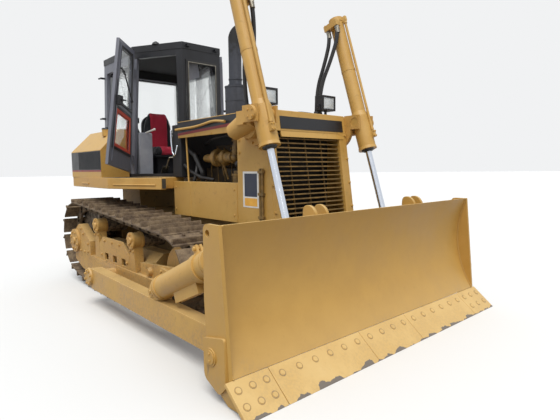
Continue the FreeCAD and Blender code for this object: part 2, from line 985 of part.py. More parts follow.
def window_outlines():
    """The four fixed windows as blocks through their walls, without a lap."""
    depth = cab_wall + 150
    front_half = cab_front_half - 45
    rear_half = cab_half - 90
    blocks = [
        (cab_front_x - depth, cab_front_x + 10, -front_half, front_half, window_sill, window_head),
        (cab_rear_x - 10, cab_rear_x + depth, -rear_half, rear_half, rear_sill, window_head),
    ]
    for sign in (-1, 1):
        inner = sign * (cab_half - cab_wall - 60)
        outer = sign * (cab_half + 150)
        blocks.append((cab_rear_x + 90, cab_corner_x - 130, inner, outer, rear_sill, window_head))
    return blocks


def cab_cuts():
    cuts = [block(*window) for window in window_outlines()]
    doorway = (
        (post + corner_at(doorway_foot), doorway_foot),
        (doorway_front, doorway_foot),
        (doorway_front - 25, doorway_head),
        (post + corner_at(doorway_head), doorway_head),
    )
    for sign in (-1, 1):
        cuts.append(upright(doorway, sign, -cab_wall - 20, cab_wall + 20))
    return cuts


hinge_out = door_gap + door_skin / 2


def hinge_foot(sign):
    """The foot of the door hinge's axis, level with the cab's floor and outside the diagonal wall."""
    turn = math.radians(wall_angle)
    back = wall_length * (1 + corner_spread) - hinge_inset
    x = cab_front_x - back * math.cos(turn) + hinge_out * math.sin(turn)
    y = cab_front_half + back * math.sin(turn) + hinge_out * math.cos(turn)
    return Vector(x, sign * y, cab_floor)


def hang(shape, sign, opened):
    """Turn a door's piece from its own axes, with the hinge pin as Z, to its place on the cab."""
    shape.rotate(Vector(0, 0, 0), Vector(0, 0, 1), opened)
    shape.rotate(Vector(0, 0, 0), Vector(0, 1, 0), math.degrees(corner_lean))
    shape.rotate(Vector(0, 0, 0), Vector(0, 0, 1), -sign * wall_angle)
    shape.translate(hinge_foot(sign))
    return shape


def hinge_lugs(sign):
    """The lug under each of the door's knuckles, with the pin that stands in it."""
    lugs = []
    for z in (hinge_low, hinge_high):
        arm = block(-knuckle_radius, knuckle_radius, sign * 18, -sign * (hinge_out + 6), z - lug_thickness, z)
        pin = bar((0, 0, z - lug_thickness), (0, 0, z + knuckle_length + 10), hinge_pin)
        lugs.append(hang(fuse([arm, pin]), sign, 0))
    return lugs


def cab_frame():
    shell = cab_prism(0, deck_top, cab_roof - roof_skin)
    room = cab_prism(-cab_wall, cab_floor, cab_roof)
    walls = cut(shell, [room] + cab_cuts())
    return fuse([walls] + hinge_lugs(-1) + hinge_lugs(1))


save("cab_frame", cab_frame())


def cab_roof_shape():
    low = cab_roof - roof_skirt
    cap = floor_plate(cab_plan(roof_overhang, low), low, cab_roof)
    inside = cab_prism(0.5, low - 1, cab_roof - roof_skin)
    return cap.cut(inside)


save("cab_roof", cab_roof_shape())


# Glass sits against the inside of each wall, lapped over the opening
def cab_glass():
    lap = 15
    low = rear_sill - 50
    lining = cab_prism(-cab_wall, low, cab_roof - roof_skin).cut(
        cab_prism(-cab_wall - glass, low - 1, cab_roof - roof_skin + 1)
    )
    panes = []
    for x0, x1, y0, y1, z0, z1 in window_outlines()[:2]:
        panes.append(lining.common(block(x0, x1, y0 - lap, y1 + lap, z0 - lap, z1 + lap)))
    for x0, x1, y0, y1, z0, z1 in window_outlines()[2:]:
        panes.append(lining.common(block(x0 - lap, x1 + lap, y0, y1, z0 - lap, z1 + lap)))
    return Part.makeCompound(panes)


save("cab_glass", cab_glass())


# Cowl and dash: between the hood and the cab's front wall
def dash():
    half = hood_half - 30
    cowl = (
        (cab_front_x, -cab_front_half),
        (cab_front_x + 130, -half),
        (hood_rear_x, -half),
        (hood_rear_x, half),
        (cab_front_x + 130, half),
        (cab_front_x, cab_front_half),
    )
    return floor_plate(cowl, deck_top, guard_top_z - 20)


save("dash", dash())


# Seat and controls
seat_x = -1660


def seat_frame():
    pedestal = block(seat_x - 160, seat_x + 230, -190, 190, cab_floor, 1640)
    pan = block(seat_x - 190, seat_x + 260, -220, 220, 1640, 1670)
    back = block(seat_x - 190, seat_x - 150, -215, 215, 1670, 2250)
    return fuse([pedestal, pan, back])


save("seat_frame", seat_frame())


def seat_pads():
    cushion = block(seat_x - 60, seat_x + 290, -240, 240, 1670.3, 1790)
    back = block(seat_x - 149.7, seat_x - 60.3, -240, 240, 1700, 2310)
    return Part.makeCompound([cushion, back])


save("seat_pads", seat_pads())


console_top = 1950
console_inner = 370
console_outer = 560


def console():
    right = block(-1500, -1180, -console_outer, -console_inner, cab_floor, console_top)
    left = block(-1800, -1350, console_inner, console_outer, cab_floor, console_top)
    return Part.makeCompound([right, left])


save("console", console())


def controls():
    levers = []
    for x, y in ((-1430, -460), (-1450, 460)):
        stem = bar((x, y, console_top), (x, y, console_top + 140), 9)
        grip = block(x - 20, x + 20, y - 20, y + 20, console_top + 140, console_top + 210)
        levers.append(fuse([stem, grip]))
    return Part.makeCompound(levers)


save("controls", controls())


# Doors: a frame with two windows, hung at the cab's corner; built shut and then turned to rest
door_low_hinge = cab_floor + 35
door_low_free = cab_floor + 100
door_high_hinge = doorway_head + 75
door_high_free = doorway_head + 90


def door_edge(z):
    """The distance from the corner's foot to the door's free edge at a height."""
    share = (z - door_low_free) / (door_high_free - door_low_free)
    return door_foot_width + (door_head_width - door_foot_width) * share


def on_door(outline):
    """Turn (distance forward of the corner's foot, height) into distances from the hinge's axis and foot."""
    turned = []
    for t, z in outline:
        along = t - hinge_inset
        up = z - cab_floor
        x = along * math.cos(corner_lean) - up * math.sin(corner_lean)
        turned.append((x, along * math.sin(corner_lean) + up * math.cos(corner_lean)))
    return turned


def door_parts(sign):
    """The door's frame and its two panes, with the hinge pin as Z."""
    edge = hinge_inset + knuckle_radius + 14
    outline = (
        (edge + 25 + corner_at(door_low_hinge), door_low_hinge),
        (door_edge(door_low_free), door_low_free),
        (door_edge(door_high_free), door_high_free),
        (edge + corner_at(door_high_hinge), door_high_hinge),
    )
    stile = 75
    rail_z = cab_floor + 0.53 * (doorway_head - cab_floor)
    foot_z = cab_floor + 250
    head_z = door_high_hinge - 80
    lower = (
        (edge + stile + corner_at(foot_z), foot_z - 10),
        (door_edge(foot_z) - stile, foot_z + 60),
        (door_edge(rail_z) - stile, rail_z),
        (edge + stile + corner_at(rail_z), rail_z - 60),
    )
    upper = (
        (edge + stile + corner_at(rail_z), rail_z + 20),
        (door_edge(rail_z) - stile, rail_z + 80),
        (door_edge(head_z) - stile, head_z + 10),
        (edge + stile + corner_at(head_z), head_z),
    )
    half = door_skin / 2
    frame = side_plate(on_door(outline), -half, half)
    for window in (lower, upper):
        frame = frame.cut(side_plate(on_door(window), -half - 1, half + 1))
    leaves = [frame]
    pins = []
    for z in (hinge_low, hinge_high):
        low = z + knuckle_lift
        leaves.append(bar((0, 0, low), (0, 0, z + knuckle_length), knuckle_radius))
        leaves.append(block(0, knuckle_radius + 50, -8, 8, low, z + knuckle_length))
        pins.append(bar((0, 0, z - 1), (0, 0, z + knuckle_length + 1), hinge_pin + hinge_clearance))
    panes = [side_plate(on_door(w), -glass / 2, glass / 2) for w in (lower, upper)]
    return cut(fuse(leaves), pins), Part.makeCompound(panes)


for side, sign in right_and_left:
    frame, panes = door_parts(sign)
    opened = door_open_angle if side == "right" else 0
    save("door_" + side, hang(frame, sign, opened))
    save("door_glass_" + side, hang(panes, sign, opened))


# Blade: a curved skin on box stiffeners, with bolted edges and end bits
def arc_between(x0, z0, x1, z1, sagitta):
    chord = Vector(x1 - x0, 0, z1 - z0)
    middle = Vector((x0 + x1) / 2, 0, (z0 + z1) / 2)
    back = Vector(-chord.z, 0, chord.x).normalize()
    return Part.Arc(Vector(x0, 0, z0), middle + back * sagitta, Vector(x1, 0, z1))


inside_half = blade_width / 2 - end_plate_thickness


def skin_arc(back):
    """The skin's curve, moved back from its front face by a distance."""
    return arc_between(
        blade_foot_x - back, blade_foot_z, blade_top_x - back, blade_height, blade_sagitta
    ).toShape()


def segment(x0, z0, x1, z1):
    return Part.LineSegment(Vector(x0, 0, z0), Vector(x1, 0, z1)).toShape()


def filled(edges, y0, y1):
    face = Part.Face(Part.Wire(Part.__sortEdges__(edges)))
    face.translate(Vector(0, y0, 0))
    return face.extrude(Vector(0, y1 - y0, 0))


def ahead_of_skin():
    """Everything in front of the skin's rear face, to trim what stands on its back."""
    foot_x = blade_foot_x - blade_skin
    top_x = blade_top_x - blade_skin
    edges = [
        skin_arc(blade_skin),
        segment(top_x, blade_height, top_x + 600, blade_height),
        segment(top_x + 600, blade_height, top_x + 600, blade_foot_z),
        segment(top_x + 600, blade_foot_z, foot_x, blade_foot_z),
    ]
    return filled(edges, -blade_width, blade_width)


def moldboard():
    edges = [
        skin_arc(0),
        segment(blade_top_x, blade_height, blade_top_x - blade_skin, blade_height),
        skin_arc(blade_skin),
        segment(blade_foot_x - blade_skin, blade_foot_z, blade_foot_x, blade_foot_z),
    ]
    skin = filled(edges, -inside_half, inside_half)
    # Box stiffeners along the back and up its ends: x, reach from the middle, low and high
    beams = []
    short = inside_half - 255
    for x, reach, low, high in ((2010, inside_half, 980, 1100), (1975, short, 500, 800), (1985, short, 190, 330)):
        beams.append(block(x, 2210, -reach, reach, low, high))
    for sign in (-1, 1):
        beams.append(block(end_plate_rear_x, 2210, sign * (inside_half - 230), sign * inside_half, 400, 1100))
    backing = cut(fuse(beams), [ahead_of_skin(), rib_plate(-1), rib_plate(1)])
    return fuse([skin, backing])


def rib_plate(sign):
    """The lift cylinder's ribs: a pair of gussets up the blade's back that rise above its top."""
    outline = (
        (rod_pin_x - 60, 560, 40),
        (2000, 420, 0),
        (2160, 420, 0),
        (2160, 900, 0),
        (2118, 1110, 0),
        (2118, blade_height + 10, 0),
        (2080, blade_height + rib_rise, 0),
        (1990, blade_height + rib_rise, 0),
        (1965, 830, 0),
        (rod_pin_x - 60, 740, 40),
    )
    y = sign * rib_y
    half_gap = rod_eye_width / 2 + 8
    plates = []
    for offset in (-half_gap - rib_thickness, half_gap):
        plates.append(rounded_plate(outline, y + offset, y + offset + rib_thickness))
    return Part.makeCompound(plates)


save("moldboard", moldboard())


def blade_ribs():
    return Part.makeCompound([rib_plate(-1), rib_plate(1)]).cut(ahead_of_skin())


save("blade_ribs", blade_ribs())


def edge_outline():
    """The cutting edge's section: a flat bar on the slope from the tip up to the skin."""
    slope = Vector(blade_foot_x - edge_tip_x, 0, blade_foot_z).normalize()
    back = Vector(-slope.z, 0, slope.x)
    tip = Vector(edge_tip_x, 0, 0)
    top = Vector(blade_foot_x, 0, blade_foot_z)
    top_back = top + back * edge_thickness
    heel_x = edge_tip_x - edge_thickness / slope.z
    return ((tip.x, tip.z), (top.x, top.z), (top_back.x, top_back.z), (heel_x, 0))


def cutting_edges():
    section = edge_outline()
    pieces = []
    bit_outer = blade_width / 2 + end_bit_overhang
    ends = [-bit_outer - edge_gap]
    for share in edge_joints + (1,):
        ends.append(share * bit_outer)
    for i in range(len(ends) - 1):
        pieces.append(side_plate(section, ends[i] + edge_gap, ends[i + 1]))
    return Part.makeCompound(pieces)


save("cutting_edges", cutting_edges())


# End plates: the blade's flat ends with a lifting eye and the arm's pin boss
def end_plate(sign):
    outline = (
        (blade_top_x, blade_height, 0),
        (end_plate_rear_x, blade_height, 45),
        (end_plate_rear_x - 8, 640, 0),
        (end_plate_rear_x + 20, 130, 40),
        (2200, 10, 30),
        (2360, 10, 0),
        (blade_foot_x, blade_foot_z, 0),
    )
    outer = sign * blade_width / 2
    inner = sign * (blade_width / 2 - end_plate_thickness)
    plate_shape = rounded_plate(outline, inner, outer)
    gusset = (
        (end_plate_rear_x, 130, 60),
        (2130, 60, 40),
        (2200, 130, 0),
        (2190, 440, 20),
        (end_plate_rear_x - 4, 390, 0),
    )
    thick = rounded_plate(gusset, outer, outer + sign * 18)
    boss = cross_bar(arm_pin_x, arm_pin_z, 58, outer, outer + sign * 26)
    eye = cross_bar(end_plate_rear_x + 48, blade_height - 60, lifting_eye_radius, outer - sign * 60, outer + sign * 60)
    edges = Part.makeCompound([side_plate(edge_outline(), -blade_width, blade_width)])
    return cut(fuse([plate_shape, thick, boss]), [eye, edges])


save_both("end_plate", end_plate)


# Push arms: straight boxes from the track frame's trunnion to the pin in the blade's end
def push_arm(sign):
    outer = sign * arm_outer
    inner = sign * (arm_outer - arm_width)
    outline = (
        (arm_pivot_x - 110, arm_pivot_z - 70, 50),
        (arm_pivot_x + 60, arm_pivot_z - 120, 0),
        (arm_pin_x - 60, 175, 0),
        (arm_pin_x + 60, 215, 60),
        (arm_pin_x + 60, 350, 60),
        (arm_pin_x - 140, 375, 0),
        (arm_pivot_x + 60, arm_pivot_z + 100, 0),
        (arm_pivot_x - 110, arm_pivot_z + 70, 50),
    )
    beam = rounded_plate(outline, inner, outer)
    hole = cross_bar(arm_pivot_x, arm_pivot_z, 60.06, sign * (guard_outer - 30), sign * (arm_outer - arm_width / 2 + 1))
    reach = cross_bar(arm_pin_x, arm_pin_z, 50, outer, sign * (blade_width / 2 - end_plate_thickness))
    ear = (
        (brace_foot_x - 90, 360, 0),
        (brace_foot_x + 90, 360, 0),
        (brace_foot_x + 60, brace_foot_z + 55, 50),
        (brace_foot_x - 60, brace_foot_z + 55, 50),
    )
    middle = sign * (arm_outer - arm_width / 2)
    ears = []
    for way in (-1, 1):
        ears.append(rounded_plate(ear, middle + way * brace_eye_width / 2, middle + way * (brace_eye_width / 2 + 18)))
    return fuse([cut(beam, [hole]), reach] + ears)


save_both("push_arm", push_arm)


def brace(sign):
    y = sign * (arm_outer - arm_width / 2)
    foot = Vector(brace_foot_x, y, brace_foot_z)
    head = Vector(brace_head_x, y, brace_head_z)
    way = (head - foot).normalize()
    pieces = [
        cross_bar(brace_foot_x, brace_foot_z, 50, y - brace_eye_width / 2, y + brace_eye_width / 2),
        bar(foot + way * 20, head, brace_eye_width / 2 - 4),
        bar(foot + way * 100, head - way * 120, brace_radius),
        block(brace_head_x - 40, end_plate_rear_x, y - 25, y + 25, brace_head_z - 60, brace_head_z + 60),
    ]
    return fuse(pieces)


save_both("brace", brace)


# Lift cylinders: barrels in trunnions on the guard's yokes, rods down to the blade's ribs
reach_x = rod_pin_x - trunnion_x
reach_z = rod_pin_z - trunnion_z
cylinder_length = math.hypot(reach_x, reach_z)
cylinder_turn = math.degrees(math.atan2(-reach_x, -reach_z))


def on_cylinder(shape):
    """Place a shape modelled upright about the trunnion on the cylinder's own line."""
    copy = shape.copy()
    copy.rotate(Vector(0, 0, 0), Vector(0, 1, 0), cylinder_turn)
    copy.translate(Vector(trunnion_x, 0, trunnion_z))
    return copy


def upright_lathe(profile, y):
    """A body turned about an upright axis at y; the profile is (radius, height)."""
    face = polygon_face([(radius, y, height) for radius, height in profile])
    return face.revolve(Vector(0, y, 0), Vector(0, 0, 1), 360)


pipe_radius = 13
hose_radius = 20
hose_y = cylinder_y - 95
hose_offset = 60
manifold_foot = barrel_above - 120


def lift_barrel(sign):
    y = sign * cylinder_y
    bore = rod_radius + rod_clearance
    tube_profile = (
        (0, barrel_above),
        (barrel_radius, barrel_above),
        (barrel_radius, 60),
        (gland_radius, 60),
        (gland_radius, -barrel_below),
        (bore, -barrel_below),
        (bore, barrel_above - 60),
        (0, barrel_above - 60),
    )
    pieces = [upright_lathe(tube_profile, y)]
    for way in (-1, 1):
        pieces.append(cross_bar(0, 0, trunnion_pin, y + way * (bore + 20), y + way * 112))
    # The pipe down the front, its clamp at the top and the port block at its foot
    pipe_x = gland_radius + 8
    pipe_y = y + sign * 20
    pieces.append(bar((pipe_x, pipe_y, -150), (pipe_x, pipe_y, barrel_above - 20), pipe_radius))
    pieces.append(block(40, pipe_x + 20, pipe_y - 16, pipe_y + 16, barrel_above - 60, barrel_above - 10))
    pieces.append(block(60, pipe_x + 20, y, y + sign * 40, -190, -120))
    # The manifold that the hoses leave downwards, on the barrel's inner side
    reach = hose_offset + 26
    inner = sign * (hose_y - 30)
    pieces.append(block(-reach, reach, inner, sign * (hose_y + 36), manifold_foot, manifold_foot + 60))
    return on_cylinder(fuse(pieces))


save_both("lift_barrel", lift_barrel)


# Hoses from each manifold down behind the barrel to the top of the radiator guard
def along_cylinder(x, y, z):
    """A point from the cylinder's own axes, which start at the trunnion."""
    turn = math.radians(cylinder_turn)
    return (
        trunnion_x + x * math.cos(turn) + z * math.sin(turn),
        y,
        trunnion_z - x * math.sin(turn) + z * math.cos(turn),
    )


# Each hose's place on the manifold, then its points with the distance outwards from the middle as y
hose_routes = {
    "hose_front": (hose_offset, ((1160, 512, 2600), (1040, 462, 2300), (1060, 435, 2046))),
    "hose_rear": (-hose_offset, ((1050, 530, 2570), (965, 490, 2290), (985, 470, 2046))),
}


def hose(name, sign):
    offset, route = hose_routes[name]
    y = sign * hose_y
    points = [along_cylinder(offset, y, manifold_foot), along_cylinder(offset, y, manifold_foot - 90)]
    for x, out, z in route:
        points.append((x, sign * out, z))
    return tube(points, hose_radius)


for name in hose_routes:
    for side, sign in right_and_left:
        save(name + "_" + side, hose(name, sign))


def lift_rod(sign):
    y = sign * cylinder_y
    rod = bar((0, y, -cylinder_length + 20), (0, y, 160), rod_radius)
    eye = cross_bar(0, -cylinder_length, rod_eye_radius, y - rod_eye_width / 2, y + rod_eye_width / 2)
    return on_cylinder(fuse([rod, eye]))


save_both("lift_rod", lift_rod)


def cylinder_yoke(sign):
    side_y = sign * guard_half
    outer = sign * (cylinder_y + 118)
    dome = cross_bar(trunnion_x - 215, trunnion_z - 90, 165, side_y, side_y + sign * 40)
    # The pivot's housing swells forwards from its rear plug to the flange behind the trunnion
    rear = Vector(trunnion_x - 380, side_y + sign * 147, trunnion_z - 130)
    front = Vector(trunnion_x - 128, side_y + sign * 112, trunnion_z - 20)
    way = (front - rear).normalize()
    housing = Part.makeCone(78, 104, (front - rear).Length, rear, way)
    plug = bar(rear - way * 36, rear + way * 10, 42)
    saddle = bar((trunnion_x - 215, side_y, trunnion_z - 90), (trunnion_x - 215, side_y + sign * 110, trunnion_z - 90), 105)
    arm = block(trunnion_x - 215, trunnion_x - 125, side_y, outer, trunnion_z - 85, trunnion_z + 30)
    ears = [
        block(trunnion_x - 130, trunnion_x + 60, sign * (cylinder_y + 96), outer, trunnion_z - 70, trunnion_z + 70),
        block(trunnion_x - 130, trunnion_x + 60, sign * (cylinder_y - 96), side_y, trunnion_z - 70, trunnion_z + 70),
    ]
    body = fuse([dome, saddle, housing, plug, arm] + ears)
    hole_radius = trunnion_pin + trunnion_clearance
    hole = cross_bar(trunnion_x, trunnion_z, hole_radius, sign * (cylinder_y - 200), sign * (cylinder_y + 200))
    return cut(body, [hole])


save_both("cylinder_yoke", cylinder_yoke)
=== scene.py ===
import bmesh
import bpy
import json
import math
from mathutils import Matrix, Quaternion, Vector
from mathutils.geometry import convex_hull_2d


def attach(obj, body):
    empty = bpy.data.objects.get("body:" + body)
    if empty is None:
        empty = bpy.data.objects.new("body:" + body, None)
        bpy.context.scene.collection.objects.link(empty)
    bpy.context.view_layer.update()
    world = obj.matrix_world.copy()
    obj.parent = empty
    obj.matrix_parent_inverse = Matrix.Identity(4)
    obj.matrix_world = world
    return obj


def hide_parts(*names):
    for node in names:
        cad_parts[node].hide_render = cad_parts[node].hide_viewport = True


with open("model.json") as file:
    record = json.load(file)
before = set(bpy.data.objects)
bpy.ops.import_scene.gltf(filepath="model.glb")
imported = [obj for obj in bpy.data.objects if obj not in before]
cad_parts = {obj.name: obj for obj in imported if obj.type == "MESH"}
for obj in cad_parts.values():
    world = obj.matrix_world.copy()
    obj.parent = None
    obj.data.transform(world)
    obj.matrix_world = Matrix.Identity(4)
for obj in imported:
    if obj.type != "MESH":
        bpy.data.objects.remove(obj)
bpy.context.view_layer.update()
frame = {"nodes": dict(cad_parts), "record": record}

# The studio: a wide pale floor and a pale surround, so the machine stands alone. The world
# lights it as an overcast sky does, most from overhead, and shows white behind it.


def linear(code):
    """A paint's sRGB hex code as the linear colour that a node takes."""
    parts = []
    for i in (0, 2, 4):
        c = int(code[i:i + 2], 16) / 255
        parts.append(c / 12.92 if c <= 0.04045 else ((c + 0.055) / 1.055) ** 2.4)
    return (*parts, 1.0)


def feed(tree, node, inputs):
    """Set a node's inputs: each is a value, a hex code, or the socket that feeds it."""
    for name, value in inputs.items():
        if isinstance(value, bpy.types.NodeSocket):
            tree.links.new(value, node.inputs[name])
        else:
            node.inputs[name].default_value = linear(value) if isinstance(value, str) else value


def put(tree, kind, inputs=None, **settings):
    """Add a node with its settings and inputs."""
    made = tree.nodes.new("ShaderNode" + kind)
    for name, value in settings.items():
        setattr(made, name, value)
    feed(tree, made, inputs or {})
    return made


def blend(tree, share, first, second):
    """Mix two colours by a share."""
    return put(tree, "Mix", {0: share, 6: first, 7: second}, data_type="RGBA").outputs[2]


def reckon(tree, operation, first, second=0.0):
    """One sum, product, comparison or function of a value."""
    return put(tree, "Math", {0: first, 1: second}, operation=operation).outputs[0]


def ramp(tree, value, start=0.0, end=1.0, low=0.0, high=1.0):
    """Stretch a value between start and end to run from low to high."""
    return put(tree, "MapRange", {0: value, 1: start, 2: end, 3: low, 4: high}).outputs[0]


def noise(tree, scale, detail, roughness=0.5, distortion=0.0, at=None):
    """Cloudy noise, by its scale in waves to the metre."""
    at = at or put(tree, "TexCoord").outputs["Object"]
    return put(tree, "TexNoise", {
        "Vector": at, "Scale": scale, "Detail": detail, "Roughness": roughness, "Distortion": distortion,
    }).outputs[0]


def measure(tree, axis, vector=None):
    """One coordinate of the place on the machine, or of another vector."""
    vector = vector or put(tree, "TexCoord").outputs["Object"]
    return put(tree, "SeparateXYZ", {0: vector}).outputs[axis]


def ripple(tree, axis, pitch):
    """A wave along an axis, by its pitch in metres."""
    turns = reckon(tree, "MULTIPLY", measure(tree, axis), 2 * math.pi / pitch)
    return reckon(tree, "SINE", turns)


def roughen(tree, height, strength, depth, under=None):
    """Relief of a depth in metres, over another relief where one is given."""
    made = put(tree, "Bump", {"Height": height, "Strength": strength, "Distance": depth})
    if under:
        feed(tree, made, {"Normal": under})
    return made.outputs[0]


def seen_directly(tree):
    """Whether a ray comes straight from the camera, through glass or off a bright surface."""
    rays = put(tree, "LightPath").outputs
    direct = reckon(tree, "MAXIMUM", rays["Is Camera Ray"], rays["Is Transmission Ray"])
    return reckon(tree, "MAXIMUM", direct, rays["Is Glossy Ray"])


def new_material(name):
    material = bpy.data.materials.new(name)
    material.use_nodes = True
    return material, material.node_tree, material.node_tree.nodes["Principled BSDF"]


scene = bpy.context.scene
scene.view_settings.view_transform = "Standard"
world = bpy.data.worlds.new("overcast_sky")
scene.world = world
world.use_nodes = True
sky = world.node_tree
sky.nodes.clear()
overhead = measure(sky, 2, put(sky, "TexCoord").outputs["Generated"])
strength = ramp(sky, overhead, -0.05, 0.9, 0.38, 1.25)
daylight = put(sky, "Background", {"Color": "E9F0FA", "Strength": strength}).outputs[0]
backdrop = put(sky, "Background", {"Color": "F1F2F3", "Strength": 1.0}).outputs[0]
mixed = put(sky, "MixShader", {0: seen_directly(sky), 1: daylight, 2: backdrop}).outputs[0]
put(sky, "OutputWorld", {"Surface": mixed})

floor_paint, tree, shader = new_material("studio_floor")
# It looks pale, but throws up no more light than dry earth does
ground = blend(tree, seen_directly(tree), "8C857A", "D9D8D5")
feed(tree, shader, {"Base Color": ground, "Roughness": 0.9})
bm = bmesh.new()
bmesh.ops.create_circle(bm, cap_ends=True, segments=64, radius=120.0)
floor_mesh = bpy.data.meshes.new("studio_floor")
bm.to_mesh(floor_mesh)
bm.free()
floor_mesh.materials.append(floor_paint)
studio_floor = bpy.data.objects.new("studio_floor", floor_mesh)
scene.collection.objects.link(studio_floor)

sun_lamp = bpy.data.lights.new("soft_sun", "SUN")
sun_lamp.energy = 2.4
sun_lamp.angle = math.radians(35)
sun_lamp.color = (1.0, 0.97, 0.92)
sun = bpy.data.objects.new("soft_sun", sun_lamp)
sun.rotation_euler = (math.radians(29), math.radians(6), math.radians(34))
scene.collection.objects.link(sun)

# The camera stands off the right front corner of the blade at eye height, and looks slightly down
# with a wide lens.
yaw, pitch, roll = 2.41348, -0.09286, -0.01099
heading = Vector((math.cos(pitch) * math.cos(yaw), math.cos(pitch) * math.sin(yaw), math.sin(pitch)))
lens = bpy.data.cameras.new("camera")
lens.sensor_width = 36.0
lens.lens = 29.08
camera = bpy.data.objects.new("camera", lens)
camera.location = (4.412, -3.127, 1.475)
camera.rotation_mode = "QUATERNION"
camera.rotation_quaternion = heading.to_track_quat("-Z", "Y") @ Quaternion((0, 0, 1), roll)
scene.collection.objects.link(camera)
scene.camera = camera

# Main frame: the welded hull under the engine with both final drives, in thick plate. Its enamel
# is a sprayed alkyd in the maker's sand yellow, dusty on top and splashed with mud low down.


def place(bm, name, finish, body="chassis", angle=35):
    """Turn a finished bmesh into a piece that rides on a body."""
    bmesh.ops.remove_doubles(bm, verts=bm.verts, dist=1e-5)
    bmesh.ops.recalc_face_normals(bm, faces=bm.faces)
    mesh = bpy.data.meshes.new(name)
    bm.to_mesh(mesh)
    bm.free()
    mesh.materials.append(finish)
    mesh.shade_smooth()
    mesh.set_sharp_from_angle(angle=math.radians(angle))
    piece = bpy.data.objects.new(name, mesh)
    scene.collection.objects.link(piece)
    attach(piece, body)
    return piece


def body_with(node):
    return next(name for name, nodes in frame["record"]["behaviour"]["bodies"].items() if node in nodes)


def dress(node, finish, round_by=0.003, angle=35):
    """Stand a merged copy of a CAD node in its place, with its edges eased as a real plate's are."""
    bm = bmesh.new()
    bm.from_mesh(frame["nodes"][node].data)
    bmesh.ops.remove_doubles(bm, verts=bm.verts, dist=1e-5)
    bmesh.ops.dissolve_limit(bm, angle_limit=math.radians(0.6), verts=bm.verts, edges=bm.edges)
    piece = place(bm, "dressed_" + node, finish, body_with(node), angle)
    if round_by:
        eased = piece.modifiers.new("eased_edges", "BEVEL")
        eased.width = round_by
        eased.segments = 2
        eased.limit_method = "ANGLE"
        eased.angle_limit = math.radians(40)
        eased.harden_normals = False
    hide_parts(node)
    return piece


def enamel(name, fresh, faded, mud, mud_height, grime, roughness):
    """Sprayed enamel: two tones of dust, mud splashed up to a height in metres, and greasy grime."""
    paint, tree, shader = new_material(name)
    # Dust lies in clouds about 300 mm across, and thicker on faces that look up
    clouds = noise(tree, 3.2, 5.0, 0.6)
    dusty = ramp(tree, clouds, 0.38, 0.66)
    up = ramp(tree, measure(tree, 2, put(tree, "NewGeometry").outputs["Normal"]), 0.3, 1.0, 0.0, 0.5)
    dust = blend(tree, up, blend(tree, dusty, fresh, faded), "C2A876")
    # Grime lies in smears about 60 mm across
    greasy = ramp(tree, noise(tree, 16.0, 7.0, 0.7, 0.6), 0.57, 0.74, 0.0, grime)
    dirt = blend(tree, greasy, dust, "4A3B24")
    # Mud thins out upwards in spots, with a ragged upper edge
    ragged = ramp(tree, clouds, 0.3, 0.7, -0.25, 0.25)
    low = ramp(tree, reckon(tree, "ADD", measure(tree, 2), ragged), 0.0, mud_height, 0.55, 0.0)
    spots = ramp(tree, noise(tree, 55.0, 4.0), 0.42, 0.6)
    muddy = blend(tree, reckon(tree, "MULTIPLY", low, spots), dirt, mud)
    # Orange peel 4 mm across, and plate that is never quite flat
    peel = roughen(tree, noise(tree, 260.0, 2.0), 0.12, 0.001)
    buckle = roughen(tree, noise(tree, 4.5, 1.0), 0.35, 0.012, peel)
    matt = ramp(tree, dusty, low=roughness, high=roughness + 0.16)
    feed(tree, shader, {"Base Color": muddy, "Roughness": matt, "Normal": buckle})
    return paint


sand_enamel = enamel("sand_enamel", "BC9146", "C49C55", "8A7660", 0.5, 0.35, 0.44)
greasy_enamel = enamel("greasy_enamel", "B88B44", "C49C58", "857058", 0.9, 0.9, 0.55)
# The hull hangs over the tracks: its enamel is darkened for oil and road dirt, and also as painted shade
# for the shadow it lies in between the tracks
hull_grime_and_shade_enamel = enamel("hull_grime_and_shade_enamel", "947440", "A0824C", "6A5845", 1.2, 1.0, 0.6)
dress("main_frame", hull_grime_and_shade_enamel, 0.006)
dress("drawbar", greasy_enamel)

# Tracks: forged shoes with one grouser each, bolted to pairs of links on hardened pins. They are
# bare cast steel under dried mud, in patches.
track_steel, tree, shader = new_material("muddy_track_steel")
lumps, grit = noise(tree, 14.0, 8.0, 0.65), noise(tree, 120.0, 5.0, 0.7)
iron, dry_mud = blend(tree, grit, "2E2620", "6A5644"), blend(tree, grit, "5A4A38", "9A8568")
caked = blend(tree, ramp(tree, lumps, 0.36, 0.6), iron, dry_mud)
crumbs = roughen(tree, grit, 0.5, 0.004)
cakes = roughen(tree, lumps, 0.8, 0.02, crumbs)
feed(tree, shader, {"Base Color": caked, "Roughness": 0.85, "Normal": cakes})

both_sides = (("right", -1), ("left", 1))
shoe_pitch, shoe_width, pin_height = 0.203, 0.560, 0.117
# Each wheel's middle in X and Z, and the radius that the pins run round it at
sprocket, idler = (-1.800, 0.600, 0.392), (0.630, 0.475, 0.340)
outline = [(-1.320, pin_height), (0.230, pin_height)]
for x, z, radius in (sprocket, idler):
    for i in range(360):
        turn = math.radians(i)
        outline.append((x + radius * math.cos(turn), z + radius * math.sin(turn)))
loop = [Vector(outline[i]) for i in convex_hull_2d(outline)]
rearmost = min(range(len(loop)), key=lambda i: loop[i].x)
loop = loop[rearmost:] + loop[:rearmost]
sides = [(loop[(i + 1) % len(loop)] - loop[i]).length for i in range(len(loop))]
shoes = round(sum(sides) / shoe_pitch)
step = sum(sides) / shoes
pins = []
walked = 0.0
for i, side in enumerate(sides):
    while len(pins) < shoes and len(pins) * step < walked + side:
        pins.append(loop[i].lerp(loop[(i + 1) % len(loop)], (len(pins) * step - walked) / side))
    walked += side


